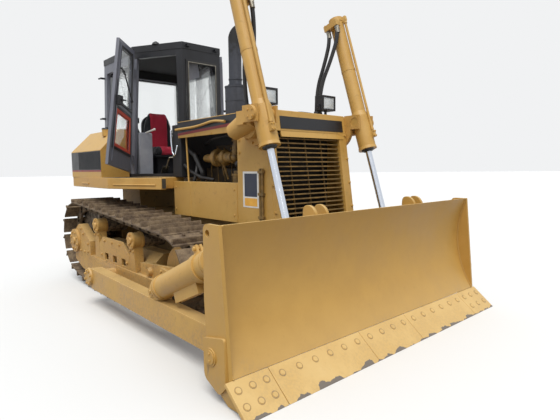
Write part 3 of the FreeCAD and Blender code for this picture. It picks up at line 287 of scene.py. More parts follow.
def prism(bm, corners, way):
    """A closed block: a flat outline drawn along a way."""
    face = bm.faces.new([bm.verts.new(corner) for corner in corners])
    grown = bmesh.ops.extrude_face_region(bm, geom=[face])
    moved = [v for v in grown["geom"] if isinstance(v, bmesh.types.BMVert)]
    bmesh.ops.translate(bm, verts=moved, vec=way)


def extruded(bm, corners, y0, y1):
    """A prism with its outline in X and Z and its length along Y."""
    prism(bm, [(x, y0, z) for x, z in corners], (0, y1 - y0, 0))


def box(bm, x0, x1, z0, z1, y0, y1):
    extruded(bm, ((x0, z0), (x1, z0), (x1, z1), (x0, z1)), y0, y1)


def rod(bm, start, end, radius, tip=None, segments=20):
    """A closed round bar, or a cone where tip is given, between two points."""
    a, b = Vector(start), Vector(end)
    turn = (b - a).to_track_quat("Z", "Y").to_matrix().to_4x4()
    bmesh.ops.create_cone(
        bm, cap_ends=True, segments=segments, radius1=radius, radius2=radius if tip is None else tip,
        depth=(b - a).length, matrix=Matrix.Translation((a + b) / 2) @ turn,
    )


def pin(bm, x, z, y0, y1, radius, tip=None, segments=20):
    """A rod across the machine."""
    rod(bm, (x, y0, z), (x, y1, z), radius, tip, segments)


def post(bm, x, y, z0, z1, radius, tip=None, segments=20):
    """A rod that stands upright."""
    rod(bm, (x, y, z0), (x, y, z1), radius, tip, segments)


def ball(bm, at, radius, fineness=2):
    bmesh.ops.create_icosphere(bm, subdivisions=fineness, radius=radius, matrix=Matrix.Translation(at))


def tube(bm, knots, radius, bend, segments=16, loose_ends=0):
    """A bent tube or hose: rods from knot to knot, with a ball at each bend."""
    for a, b in zip(knots, knots[1:]):
        rod(bm, a, b, radius, segments=segments)
    for knot in knots[loose_ends:len(knots) - loose_ends]:
        ball(bm, knot, bend)


def bolt(bm, at, way, across=0.03, height=0.016):
    """A hexagon head on its washer."""
    at, way = Vector(at), Vector(way).normalized()
    rod(bm, at - way * 0.002, at + way * 0.003, across * 0.62, segments=14)
    rod(bm, at + way * 0.002, at + way * height, across * 0.56, across * 0.52, segments=6)


def side_bolt(bm, x, z, y, across, height=0.016):
    """A bolt whose head looks out from the machine's side."""
    bolt(bm, (x, y, z), (0, math.copysign(1, y), 0), across, height)


def side_bolts(bm, spots, y, across, height=0.016):
    for x, z in spots:
        side_bolt(bm, x, z, y, across, height)


def bolt_circle(bm, x, z, y, radius, count, first, across, height=0.016):
    """Side bolts on a circle, from a first angle in degrees."""
    for i in range(count):
        turn = math.radians(360 / count * i + first)
        side_bolt(bm, x + radius * math.cos(turn), z + radius * math.sin(turn), y, across, height)


def sheet(name, finish, corners, y0, y1):
    """A piece that is one prism."""
    bm = bmesh.new()
    extruded(bm, corners, y0, y1)
    place(bm, name, finish)


# One pitch of track: the shoe's rolled section with its grouser, both links and the bolts
pitch = bmesh.new()
shoe = (
    (0.001, 0.050), (0.004, 0.062), (0.012, 0.067), (0.020, 0.068), (0.026, 0.110), (0.031, 0.1165),
    (0.041, 0.1165), (0.046, 0.108), (0.052, 0.068), (0.186, 0.067), (0.199, 0.059), (0.202, 0.049),
    (0.190, 0.055), (0.014, 0.055),
)
extruded(pitch, shoe, -shoe_width / 2, shoe_width / 2)
link = (
    (-0.036, -0.022), (-0.016, -0.046), (0.020, -0.050), (0.190, -0.050), (0.222, -0.044),
    (0.238, -0.022), (0.240, 0.010), (0.226, 0.036), (0.196, 0.054), (0.012, 0.054), (-0.014, 0.044),
    (-0.034, 0.020),
)
for side in (-1, 1):
    extruded(pitch, link, side * 0.076, side * 0.114)
    for t in (0.078, 0.158):
        bolt(pitch, (t, side * 0.095, 0.067), (0, 0, 1), 0.032, 0.016)
    pin(pitch, 0, 0, side * 0.110, side * 0.126, 0.020, segments=12)
pin(pitch, 0, 0, -0.078, 0.078, 0.030, segments=14)
one_pitch = bpy.data.meshes.new("one_pitch")
pitch.to_mesh(one_pitch)
pitch.free()
for side, sign in both_sides:
    bm = bmesh.new()
    for i in range(shoes):
        a, b = pins[i], pins[(i + 1) % shoes]
        along = (b - a).normalized()
        frame_of_pitch = Matrix((
            (along.x, 0, along.y, a.x),
            (0, -1, 0, sign * 0.940),
            (along.y, 0, -along.x, a.y),
            (0, 0, 0, 1),
        ))
        before = len(bm.verts)
        bm.from_mesh(one_pitch)
        bm.verts.ensure_lookup_table()
        bmesh.ops.transform(bm, matrix=frame_of_pitch, verts=bm.verts[before:])
    chain = place(bm, "track_chain_" + side, track_steel)
    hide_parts("track_" + side)

# Undercarriage: welded track frame, rollers, idler and sprocket. The frame and its guards are
# enamelled with the machine; grease and mud have run over them, and the treads are worn bright.
tread_steel, tree, shader = new_material("worn_tread_steel")
shine = ramp(tree, noise(tree, 22.0, 6.0), 0.4, 0.62)
tint, gloss = blend(tree, shine, "3A3026", "7E6E5A"), ramp(tree, shine, low=0.8, high=0.5)
feed(tree, shader, {"Base Color": tint, "Roughness": gloss, "Metallic": 0.3})
for side, sign in both_sides:
    dress("track_frame_" + side, greasy_enamel, 0.005)
    dress("idler_" + side, greasy_enamel, 0.004)
    dress("sprocket_" + side, tread_steel, 0.003)
    dress("rollers_" + side, tread_steel, 0.004)

# Undercarriage fittings: cast hubs round the carrier rollers' pins, the hub armour's bolt ring,
# cover bolts and the idler's bearing block, all enamelled with the frame.
hub_x, hub_z = -1.830, 0.550
rear_cover = (
    (-1.400, 0.450), (-1.400, 0.550), (-1.560, 0.660), (-1.640, 0.720), (-1.520, 0.440), (-1.660, 0.440),
)
middle_cover = (-0.860, 0.650), (-0.640, 0.650), (-0.430, 0.650), (-0.960, 0.480), (-0.240, 0.480)
block_bolts = (0.530, 0.435), (0.530, 0.515), (0.730, 0.450), (0.730, 0.502)
for side, sign in both_sides:
    bm = bmesh.new()
    for x, z in ((-1.100, 0.807), (-0.110, 0.735)):
        pin(bm, x, z, sign * 1.066, sign * 1.194, 0.083, segments=40)
        for lip in (1.086, 1.182):
            pin(bm, x, z, sign * (lip - 0.010), sign * (lip + 0.010), 0.089, segments=40)
        pin(bm, x, z, sign * 1.192, sign * 1.210, 0.040, 0.034, segments=28)
        bolt_circle(bm, x, z, sign * 1.193, 0.060, 5, 18, 0.022, 0.012)
        # The clamp's two pinch bolts below the hub
        for out in (-0.040, 0.040):
            side_bolt(bm, x + out, z - 0.110, sign * 1.177, 0.026)
    bolt_circle(bm, hub_x, hub_z, sign * 1.217, 0.112, 8, 22, 0.026)
    pin(bm, hub_x, hub_z, sign * 1.216, sign * 1.236, 0.052, 0.044, segments=28)
    side_bolts(bm, rear_cover, sign * 1.187, 0.028)
    side_bolts(bm, middle_cover, sign * 1.177, 0.026)
    # The idler's bearing block, on the fork's outer face, and the recoil spring's end cap
    block = ((0.500, 0.405), (0.760, 0.425), (0.760, 0.525), (0.500, 0.545))
    extruded(bm, block, sign * 1.146, sign * 1.176)
    pin(bm, *idler[:2], sign * 1.174, sign * 1.198, 0.044, 0.038, segments=28)
    side_bolts(bm, block_bolts, sign * 1.175, 0.026)
    pin(bm, 0.250, 0.462, sign * 1.146, sign * 1.184, 0.046, 0.034, segments=28)
    # Cap screws along the roller guard
    for i in range(7):
        side_bolt(bm, -1.250 + 0.270 * i, 0.255, sign * 1.187, 0.028)
    place(bm, "track_frame_fittings_" + side, greasy_enamel)

# Blade: a rolled skin welded to box stiffeners and flat ends, with bolted cutting edges below.
# The paint is nearly whole, but earth has scoured the skin's foot and the edges' lower inch.
blade_enamel = enamel("blade_enamel", "B58C44", "BC934B", "A98B5A", 0.16, 0.08, 0.42)
dress("moldboard", blade_enamel, 0.003, 40)
ribs = dress("blade_ribs", blade_enamel, 0.003, 40)


def round_off(piece, offset, segments, chosen):
    """Round the corners of a finished piece that a test of their two ends picks out."""
    bm = bmesh.new()
    bm.from_mesh(piece.data)
    corners = [e for e in bm.edges if chosen(e.verts[0].co, e.verts[1].co)]
    bmesh.ops.bevel(
        bm, geom=corners, offset=offset, segments=segments, profile=0.5, affect="EDGES", material=-1,
    )
    bm.to_mesh(piece.data)
    bm.free()


# The lift lugs that stand over the skin are flame-cut round at the top
round_off(ribs, 0.040, 7, lambda a, b: min(a.z, b.z) > 1.19 and abs(a.x - b.x) < 0.001)
for side in ("right", "left"):
    dress("end_plate_" + side, blade_enamel, 0, 15)

# The weld down each end of the skin, laid by hand in 110 beads
half_skin, foot, top = 1.575, Vector((2.218, 0.176)), Vector((2.135, 1.130))
sag, beads, into_corner = 0.128, 110, 0.004
chord = top - foot
bend_radius = (chord.length ** 2 / 4 + sag ** 2) / (2 * sag)
backwards = Vector((-chord.y, chord.x)).normalized()
bend_centre = (foot + top) / 2 - backwards * (bend_radius - sag)
sweep = 2 * math.asin(chord.length / 2 / bend_radius)
welds = bmesh.new()
for side in (-1, 1):
    for i in range(beads):
        turn = math.atan2(foot.y - bend_centre.y, foot.x - bend_centre.x) - sweep * (i + 0.5) / beads
        x = bend_centre.x + (bend_radius - into_corner) * math.cos(turn)
        z = bend_centre.y + (bend_radius - into_corner) * math.sin(turn)
        seat = Matrix.Translation((x, side * (half_skin - into_corner), z))
        flat = Matrix.Diagonal((1.0, 1.0, 0.8, 1.0))
        bmesh.ops.create_icosphere(welds, subdivisions=1, radius=0.0085, matrix=seat @ flat)
place(welds, "blade_weld_beads", blade_enamel, "blade", 80)

# Cutting edges: heat-treated bars bolted under the skin with flush plough bolts. They were
# painted with the blade, and earth has scoured them bare along the lip.
edge_enamel = enamel("edge_enamel", "CBA35A", "D4B170", "BB9C66", 0.12, 0.12, 0.45)
tree = edge_enamel.node_tree
shader = tree.nodes["Principled BSDF"]
painted = shader.inputs["Base Color"].links[0].from_socket
scoured = ramp(tree, noise(tree, 9.0, 6.0), 0.3, 0.7, -0.012, 0.034)
bare = reckon(tree, "LESS_THAN", measure(tree, 2), scoured)
feed(tree, shader, {"Base Color": blend(tree, bare, painted, "6E655B")})
dress("cutting_edges", edge_enamel, 0.003)
up_slope, off_slope = Vector((-0.7694, 0, 0.6387)), Vector((0.6387, 0, 0.7694))
bm, seats = bmesh.new(), bmesh.new()
# Each bar's ends along Y, its bolts along the bar, and its rows of them. A darker ring of enamel lies round
# each head.
for y0, y1, count, rows in (
    (-1.630, -1.295, 3, (0.095, 0.205)), (-1.291, -0.355, 6, (0.205,)), (-0.351, 0.275, 4, (0.205,)),
    (0.279, 1.235, 6, (0.205,)), (1.239, 1.630, 3, (0.095, 0.205)),
):
    for row in rows:
        for i in range(count):
            y = y0 + (y1 - y0) * (i + 0.5) / count
            head = Vector((2.430, y, 0)) + up_slope * row
            rod(bm, head - off_slope * 0.001, head + off_slope * 0.005, 0.021, 0.018, segments=16)
            rod(seats, head - off_slope * 0.001, head + off_slope * 0.0012, 0.027, segments=20)
place(bm, "plough_bolts", edge_enamel, "blade")
# Darker enamel on a thin ring round each head
dark_ring_enamel = enamel("bolt_ring_darker_enamel", "86683A", "947344", "8A7660", 0.1, 0.4, 0.7)
place(seats, "plough_bolt_seats", dark_ring_enamel, "blade")

# Push arms and braces: box arms of thick plate on a capped trunnion behind, with a pin in the
# blade's end in front, and a tilt brace from each arm to the blade. Enamel over welded plate.
trunnion = (-0.57, 0.32)
brace_foot, end_pin = (0.915, 0.456), (2.046, 0.286)
for side, sign in both_sides:
    dress("push_arm_" + side, sand_enamel, 0.006)
    dress("brace_" + side, sand_enamel, 0.004)
    bm = bmesh.new()
    pin(bm, *trunnion, sign * 1.460, sign * 1.484, 0.100, 0.094, segments=40)
    bolt_circle(bm, *trunnion, sign * 1.482, 0.074, 8, 20, 0.024)
    # Lock rings on the brace's threaded ends
    foot, head = Vector((brace_foot[0], sign * 1.405, brace_foot[1])), Vector((1.880, sign * 1.405, 0.872))
    way, length = (head - foot).normalized(), (head - foot).length
    for reach in (0.100, 0.135, length - 0.150, length - 0.120):
        rod(bm, foot + way * (reach - 0.012), foot + way * (reach + 0.012), 0.107, segments=36)
    # A square bar under the tube, and the clamp that locks its screw, with two ears and a bolt
    down = Vector((way.z, 0, -way.x))

    def along(reach, drop):
        spot = foot + way * reach + down * drop
        return spot.x, spot.z

    bar = (along(0.34, 0.085), along(0.71, 0.085), along(0.71, 0.172), along(0.34, 0.172))
    extruded(bm, bar, sign * 1.372, sign * 1.448)
    rod(bm, foot + way * 0.745, foot + way * 0.815, 0.112, segments=36)
    ear = (along(0.750, -0.095), along(0.810, -0.095), along(0.802, -0.168), along(0.758, -0.168))
    for out in (1.378, 1.414):
        extruded(bm, ear, sign * out, sign * (out + 0.018))
    ear_bolt = foot + way * 0.780 - down * 0.142
    pin(bm, ear_bolt.x, ear_bolt.z, sign * 1.366, sign * 1.440, 0.011, segments=14)
    side_bolt(bm, ear_bolt.x, ear_bolt.z, sign * 1.432, 0.028)
    for x, z in (brace_foot, end_pin):
        pin(bm, x, z, sign * 1.452, sign * 1.474, 0.040, 0.036, segments=28)
        side_bolt(bm, x, z, sign * 1.472, 0.034)
    place(bm, "arm_fittings_" + side, sand_enamel, "blade")
    bm = bmesh.new()
    pin(bm, *end_pin, sign * 1.624, sign * 1.632, 0.046, segments=32)
    for step in (-0.024, 0.024):
        side_bolt(bm, end_pin[0], end_pin[1] + step, sign * 1.630, 0.018, 0.008)
    place(bm, "end_pin_keeper_" + side, blade_enamel, "blade")

# Lift cylinders: honed steel tubes in enamel, with a pipe down the front from the manifold to the
# port block, and rods ground and hard-chromed, which mirror the sky as pale bars.
chrome, tree, shader = new_material("hard_chrome")
film = ramp(tree, noise(tree, 18.0, 3.0), low=0.12, high=0.26)
feed(tree, shader, {"Base Color": "D4DAE4", "Roughness": film, "Metallic": 1.0})


def coat(name, dark, light, patch, grain, depth, roughness, metallic=0.0):
    """A dull coat in two tones: patches and grain by size in millimetres, the grain's depth too."""
    made, tree, shader = new_material(name)
    patches = ramp(tree, noise(tree, 1000.0 / patch, 6.0, 0.62), 0.34, 0.68)
    feed(tree, shader, {
        "Base Color": blend(tree, patches, dark, light), "Metallic": metallic,
        "Roughness": ramp(tree, patches, low=roughness, high=min(1.0, roughness + 0.2)),
        "Normal": roughen(tree, noise(tree, 1000.0 / grain, 3.0), 0.5, depth / 1000.0),
    })
    return made


# Oil-proof rubber over a wire braid: near black, with road dust greying it in patches
hose_rubber = coat("hose_rubber", "131316", "2B2A2A", 140, 5, 0.8, 0.42)
plated_steel = coat("plated_steel", "6E6A60", "9A958A", 30, 3, 0.3, 0.34, 1.0)
# The cylinders' trunnion, and the ways ahead of and along a cylinder, which leans back by 17 degrees
lift_pivot = (1.440, 1.930)
lift_front, lift_up = Vector((0.95408, 0, 0.29964)), Vector((-0.29964, 0, 0.95408))


def on_barrel(ahead, y, up):
    """A point from the trunnion, by distances ahead of and up along the cylinder."""
    return Vector((lift_pivot[0], y, lift_pivot[1])) + lift_front * ahead + lift_up * up


def sleeve(bm, ahead, y, low, high, radius, tip=None, segments=40):
    """A ring or a nut along the cylinder's axis."""
    rod(bm, on_barrel(ahead, y, low), on_barrel(ahead, y, high), radius, tip, segments)


# Each hose's place ahead of the barrel's axis, then its points from the machine's middle outwards
hose_routes = {
    "hose_front": (0.060, ((1.160, 0.512, 2.600), (1.040, 0.462, 2.300), (1.060, 0.435, 2.046)), 0.925),
    "hose_rear": (-0.060, ((1.050, 0.530, 2.570), (0.965, 0.490, 2.290), (0.985, 0.470, 2.046)), 0.877),
}
for side, sign in both_sides:
    dress("lift_barrel_" + side, sand_enamel, 0.004)
    bare_rod = dress("lift_rod_" + side, chrome, 0.002, 45)
    # The eye at the rod's foot is forged and enamelled, not plated
    bare_rod.data.materials.append(sand_enamel)
    for face in bare_rod.data.polygons:
        if face.center.z < 0.722:
            face.material_index = 1
    bm = bmesh.new()
    y, hose_y = sign * 0.660, sign * 0.565
    # Rings round the barrel, then the port block's bolts, the pipe's nuts and the manifold's bolts
    sleeve(bm, 0, y, 0.048, 0.112, 0.0885, 0.0735)
    sleeve(bm, 0, y, -0.262, -0.291, 0.0905, 0.0955)
    sleeve(bm, 0, y, 1.118, 1.162, 0.0765)
    sleeve(bm, 0, y, 0.560, 0.585, 0.0745)
    for up in (-0.178, -0.132):
        for out in (0.006, 0.034):
            bolt(bm, on_barrel(0.114, y + sign * out, up), lift_front, 0.016, 0.010)
    for up in (-0.098, 1.086):
        sleeve(bm, 0.096, y + sign * 0.020, up - 0.014, up + 0.014, 0.021, segments=6)
    for way in (-1, 1):
        for ahead in (-0.070, 0.070):
            bolt(bm, on_barrel(ahead, hose_y + way * 0.018, 1.098), lift_up, 0.020, 0.012)
    place(bm, "barrel_fittings_" + side, sand_enamel, "barrel_" + side)
    bm = bmesh.new()
    sleeve(bm, 0, y, -0.289, -0.304, 0.066, 0.060)
    sleeve(bm, 0, y, -0.303, -0.313, 0.050, 0.042)
    place(bm, "rod_wiper_" + side, hose_rubber, "barrel_" + side)
    for name, (ahead, route, length) in hose_routes.items():
        points = [on_barrel(ahead, hose_y, 1.040), on_barrel(ahead, hose_y, 0.950)]
        points += [Vector((px, sign * py, pz)) for px, py, pz in route]
        line = bpy.data.curves.new(name + "_line_" + side, "CURVE")
        line.dimensions = "3D"
        spline = line.splines.new("NURBS")
        spline.points.add(len(points) - 1)
        for made, point in zip(spline.points, points):
            made.co = (*point, 1.0)
        spline.order_u = 3
        spline.use_endpoint_u = True
        spline.resolution_u = 12
        line.bevel_depth = 0.020
        line.bevel_resolution = 5
        line.use_fill_caps = True
        line.materials.append(hose_rubber)
        hose = bpy.data.objects.new("rubber_" + name + "_" + side, line)
        scene.collection.objects.link(hose)
        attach(hose, "barrel_" + side)
        bm = bmesh.new()
        sleeve(bm, ahead, hose_y, 1.042, 1.012, 0.026, segments=6)
        sleeve(bm, ahead, hose_y, 1.014, 0.962, 0.0235, 0.0225, 28)
        ferrule = place(bm, name + "_ferrule_" + side, plated_steel, "barrel_" + side)
        tuple(points[0])
        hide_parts(name + "_" + side)
        # The boot on the guard's top that the hose goes down through
        bm = bmesh.new()
        x, y_foot = route[-1][0], sign * route[-1][1]
        post(bm, x, y_foot, 1.998, 2.010, 0.048, segments=32)
        post(bm, x, y_foot, 2.008, 2.074, 0.038, 0.026, segments=32)
        place(bm, name + "_boot_" + side, hose_rubber)

# Yokes: steel castings bolted to the guard's sides, each with a bearing for a cylinder's trunnion.
# Cast faces are coarser than plate, and grease weeps from the bearings.
cast_enamel = enamel("cast_enamel", "BE9046", "C79D58", "8A7660", 0.3, 0.7, 0.5)
for side, sign in both_sides:
    dress("cylinder_yoke_" + side, cast_enamel, 0.008)
    bm = bmesh.new()
    # The housing's bolted flange and the grease nipple in its rear plug
    rear, front = Vector((1.060, sign * 0.690, 1.800)), Vector((1.312, sign * 0.655, 1.910))
    way = (front - rear).normalized()
    rod(bm, front - way * 0.018, front + way * 0.010, 0.112, 0.108, segments=40)
    rod(bm, rear - way * 0.036, rear - way * 0.052, 0.026, 0.020, segments=6)
    for i in range(6):
        turn = math.radians(60 * i + 15)
        side_of = way.cross(Vector((0, 0, 1))).normalized()
        across = side_of * math.cos(turn) + side_of.cross(way) * math.sin(turn)
        bolt(bm, front - way * 0.016 + across * 0.094, -way, 0.020, 0.012)
    bolt_circle(bm, 1.225, 1.840, sign * 0.582, 0.140, 10, 8, 0.022, 0.014)
    pin(bm, *lift_pivot, sign * 0.776, sign * 0.798, 0.062, 0.056, segments=36)
    bolt_circle(bm, *lift_pivot, sign * 0.796, 0.040, 4, 45, 0.017, 0.009)
    place(bm, "yoke_housing_" + side, cast_enamel, angle=40)

# Radiator guard: a box of thick plate round the radiator, open in front behind flat slats. The
# blank nameplates are enamelled sheet on the header and on the right side.
dress("radiator_guard", sand_enamel, 0.006)
# Slats carry the same enamel under dust and oil blown back from the fan
slat_enamel = coat("dusty_slat_enamel", "5E4A28", "94743E", 60, 4, 0.4, 0.6)
dress("radiator_grille", slat_enamel, 0.002)
# Radiator core: folded aluminium fins between tubes, black, 8 mm apart to show, with painted shade in each
# furrow and a painted highlight on each crest
fins, tree, shader = new_material("radiator_fins")
furrow = ramp(tree, ripple(tree, 1, 0.008), -1.0, 1.0)
feed(tree, shader, {
    # The fins' colour follows their relief: painted shade in the furrows, painted highlight on the crests
    "Base Color": blend(tree, furrow, "0A0908", "26211B"), "Roughness": 0.8,
    "Normal": roughen(tree, furrow, 0.8, 0.004),
})
dress("radiator_core", fins, 0)

# Semi-gloss sheet enamels: they shine more than the sprayed plate round them
black_enamel = coat("black_sheet_enamel", "0E0F13", "1B1C21", 220, 6, 0.1, 0.3)
white_enamel = coat("white_sheet_enamel", "D8D6D0", "ECEAE4", 90, 6, 0.05, 0.32)
navy_enamel = coat("navy_sheet_enamel", "10182E", "18223C", 90, 6, 0.05, 0.3)
amber_enamel = coat("amber_sheet_enamel", "E2A232", "F0B446", 90, 6, 0.05, 0.3)
band = (1.3301, 1.832), (1.3138, 1.945), (1.3173, 1.945), (1.3336, 1.832)
lip = (1.3285, 1.758), (1.3185, 1.828), (1.3235, 1.828), (1.3450, 1.758)
sheet("header_panel", black_enamel, band, -0.361, 0.497)
sheet("header_lip", sand_enamel, lip, -0.361, 0.497)
for name, finish, x0, x1, z0, z1, proud in (
    ("side_plate_white", white_enamel, 0.995, 1.228, 1.110, 1.445, 0.0020),
    ("side_plate_navy", navy_enamel, 1.020, 1.206, 1.212, 1.426, 0.0026),
    ("side_plate_amber", amber_enamel, 1.020, 1.206, 1.124, 1.198, 0.0026),
):
    sheet(name, finish, ((x0, z0), (x1, z0), (x1, z1), (x0, z1)), -0.5428, -0.543 - proud)

# Grease lines and drain pipes clipped to the guard's right side, with a bolt row up each column
bm = bmesh.new()
for x in (1.268, 1.300):
    post(bm, x, -0.560, 0.985, 1.470, 0.011, segments=16)
for z in (1.03, 1.24, 1.44):
    box(bm, 1.250, 1.320, z - 0.012, z + 0.012, -0.5428, -0.575)
place(bm, "guard_side_pipes", slat_enamel)
bm = bmesh.new()
for y in (-0.520, 0.520):
    for i in range(6):
        z = 0.60 + 0.24 * i
        bolt(bm, (1.306 + (2.0 - z) * 0.14, y, z), (1, 0, 0.14), 0.022, 0.013)
for sign in (-1, 1):
    for z in (0.56, 0.70, 0.84, 1.62, 1.74):
        side_bolt(bm, 0.945, z, sign * 0.542, 0.022, 0.013)
place(bm, "guard_bolts", sand_enamel)

# Work lamps: moulded black housings with pressed-glass lenses over silvered bowls
shell_plastic = coat("moulded_black_plastic", "121216", "222226", 80, 3, 0.25, 0.45)
dress("head_lamps", shell_plastic, 0.010)
lens_glass, tree, shader = new_material("pressed_lens_glass")
flutes = roughen(tree, ripple(tree, 1, 0.012), 0.5, 0.002)
feed(tree, shader, {"Base Color": "D6DCDE", "Roughness": 0.12, "Metallic": 0.35, "Normal": flutes})
bracket = (1.150, 2.058), (1.205, 2.058), (1.190, 2.120), (1.165, 2.120)
for side, sign in both_sides:
    middle = sign * 0.400
    bm = bmesh.new()
    made = bmesh.ops.create_grid(bm, x_segments=16, y_segments=16, size=1.0)
    for vert in made["verts"]:
        u, v = vert.co.x, vert.co.y
        bulge = 0.010 * (1 - u * u) * (1 - v * v)
        vert.co = Vector((1.2255 + bulge, middle + 0.0785 * u, 2.130 + 0.0565 * v))
    bmesh.ops.solidify(bm, geom=bm.faces[:], thickness=0.003)
    place(bm, "lamp_lens_" + side, lens_glass, angle=60)
    bm = bmesh.new()
    for y in (-0.100, 0.100):
        extruded(bm, bracket, middle + y, middle + y * 1.06)
        bolt(bm, (1.178, middle + y * 1.05, 2.100), (0, y, 0), 0.022, 0.012)
    box(bm, 1.145, 1.215, 2.000, 2.008, sign * 0.350, sign * 0.450)
    place(bm, "lamp_bracket_" + side, shell_plastic)

# Lamp harness: a rubber conduit clipped along the guard's top between the lamps
bm = bmesh.new()
places = (-0.34, -0.24, -0.12, 0.0, 0.13, 0.25, 0.34)
knots = [Vector((1.105, y, 2.016 + 0.010 * math.sin(9 * y))) for y in places]
tube(bm, knots, 0.013, 0.0132, 14, 1)
for end, sign in ((knots[0], -1), (knots[-1], 1)):
    rod(bm, end, (1.135, sign * 0.375, 2.062), 0.013, segments=14)
    ball(bm, end, 0.0132)
place(bm, "lamp_harness", hose_rubber, angle=60)

# Hood: folded sheet over the engine with deep skirts. The skirt carries a black band under the
# roof's edge and a dark red stripe that climbs forwards; the lip below stays sand yellow.
red_enamel = coat("red_sheet_enamel", "7A1F20", "8E2826", 120, 5, 0.1, 0.35)
dress("hood", sand_enamel, 0.004)
band = (-0.2085, 1.874), (0.909, 1.914), (0.909, 1.993), (-0.2085, 1.993)
stripe = (-0.2085, 1.846), (0.909, 1.886), (0.909, 1.914), (-0.2085, 1.874)
for side, sign in both_sides:
    dress("hand_rail_" + side, sand_enamel, 0)
    sheet("black_band_" + side, black_enamel, band, sign * 0.5398, sign * (0.540 + 0.0012))
    sheet("red_stripe_" + side, red_enamel, stripe, sign * 0.5398, sign * (0.540 + 0.0014))
    bm = bmesh.new()
    for x in (-0.17, 0.15, 0.47, 0.79):
        side_bolt(bm, x, 1.836, sign * 0.539, 0.018, 0.009)
    place(bm, "skirt_bolts_" + side, sand_enamel)
bm = bmesh.new()
# Latches and a louvred cover on the hood's roof
for x in (-0.05, 0.70):
    for y in (-0.30, 0.30):
        post(bm, x, y, 1.998, 2.012, 0.030, 0.026, segments=24)
for i in range(7):
    x = 0.02 + 0.045 * i
    extruded(bm, ((x, 1.999), (x + 0.030, 1.999), (x + 0.022, 2.010), (x + 0.004, 2.006)), 0.08, 0.42)
place(bm, "hood_roof_fittings", sand_enamel)
# The stay under the skirt's rear end, a thin tan rod
bm = bmesh.new()
rod(bm, (-0.097, -0.500, 1.830), (-0.067, -0.500, 1.330), 0.010, segments=16)
place(bm, "skirt_stay", sand_enamel)

# Engine: cast iron under oily enamel, with black hoses and harness over it. In the open bay only
# the turbocharger and a few edges catch the light.
oily_iron = coat("oily_cast_iron", "1A1612", "4A3A22", 70, 4, 0.8, 0.42)
oily_enamel = coat("oily_engine_enamel", "54401F", "A07C40", 55, 4, 0.6, 0.45)
dress("engine_block", oily_iron, 0.008)
bm = bmesh.new()
turbo = Vector((0, -0.345, 1.590))


# The turbocharger's turned parts from rear to front: inlet, bearing house and turbine's outlet
drums = (
    (0.060, 0.120, 0.040, None), (0.110, 0.235, 0.047, 0.052), (0.245, 0.325, 0.060, None),
    (0.322, 0.334, 0.088, None), (0.330, 0.405, 0.050, 0.046), (0.396, 0.406, 0.070, None),
    (0.405, 0.475, 0.054, None), (0.470, 0.585, 0.060, 0.050), (0.580, 0.596, 0.066, None),
)
for x0, x1, radius, tip in drums[:2]:
    rod(bm, turbo + Vector((x0, 0, 0)), turbo + Vector((x1, 0, 0)), radius, tip, segments=36)
# Each scroll's round section is spun about the turbocharger's own axis
for x, radius, bore in ((0.285, 0.062, 0.034), (0.440, 0.056, 0.030)):
    section = bmesh.ops.create_circle(bm, segments=14, radius=bore)["verts"]
    seat = Matrix.Translation(turbo + Vector((x, 0, radius))) @ Matrix.Rotation(math.radians(90), 4, "X")
    bmesh.ops.transform(bm, verts=section, matrix=seat)
    bmesh.ops.spin(
        bm, geom=section + list({e for v in section for e in v.link_edges}), axis=(1, 0, 0),
        cent=turbo + Vector((x, 0, 0)), angle=2 * math.pi, steps=32, use_merge=True,
    )
for x0, x1, radius, tip in drums[2:]:
    rod(bm, turbo + Vector((x0, 0, 0)), turbo + Vector((x1, 0, 0)), radius, tip, segments=36)
for i in range(8):
    turn = math.radians(45 * i)
    spot = turbo + Vector((0.332, 0.077 * math.cos(turn), 0.077 * math.sin(turn)))
    bolt(bm, spot, (1, 0, 0), 0.013, 0.010)
# The elbow up to the exhaust, its oil lines, and the manifold behind
elbow = (0.600, -0.345, 1.590)
rod(bm, elbow, (0.612, -0.320, 1.756), 0.042, segments=28)
ball(bm, elbow, 0.050, 3)
post(bm, 0.612, -0.320, 1.752, 1.770, 0.056, segments=28)
rod(bm, (0.360, -0.345, 1.560), (0.340, -0.300, 1.400), 0.009, segments=12)
rod(bm, (0.380, -0.345, 1.560), (0.400, -0.290, 1.360), 0.013, segments=12)
for x in (0.12, 0.26, 0.40, 0.54):
    rod(bm, (x, -0.190, 1.575), (x, -0.290, 1.590), 0.030, 0.026, segments=20)
    box(bm, x - 0.04, x + 0.04, 1.530, 1.620, -0.188, -0.204)
turbocharger = place(bm, "turbocharger", oily_enamel, angle=40)
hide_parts("engine_fittings")
for side, sign in both_sides:
    bm = bmesh.new()
    # Injector lines, filters, ribs on the sump and the head's cover bolts
    for i in range(6):
        x = -0.03 + 0.13 * i
        bolt(bm, (x, sign * 0.120, 1.700), (0, sign, 0.2), 0.020, 0.012)
        side_bolt(bm, x + 0.05, 1.600, sign * 0.190, 0.024, 0.014)
        rod(bm, (x, sign * 0.150, 1.655), (x + 0.02, sign * 0.230, 1.500), 0.006, segments=10)
        rod(bm, (x + 0.02, sign * 0.232, 1.502), (x + 0.03, sign * 0.232, 1.300), 0.006, segments=10)
    for x in (0.66, 0.56):
        post(bm, x, sign * 0.290, 1.180, 1.400, 0.050, segments=28)
        post(bm, x, sign * 0.290, 1.398, 1.420, 0.056, segments=28)
        box(bm, x - 0.045, x + 0.045, 1.400, 1.450, sign * 0.228, sign * 0.300)
    rod(bm, (-0.060, sign * 0.300, 1.250), (0.180, sign * 0.300, 1.250), 0.070, segments=28)
    rod(bm, (-0.072, sign * 0.300, 1.250), (-0.060, sign * 0.300, 1.250), 0.058, segments=28)
    box(bm, 0.000, 0.140, 1.180, 1.210, sign * 0.228, sign * 0.330)
    place(bm, "engine_details_" + side, oily_enamel, angle=40)
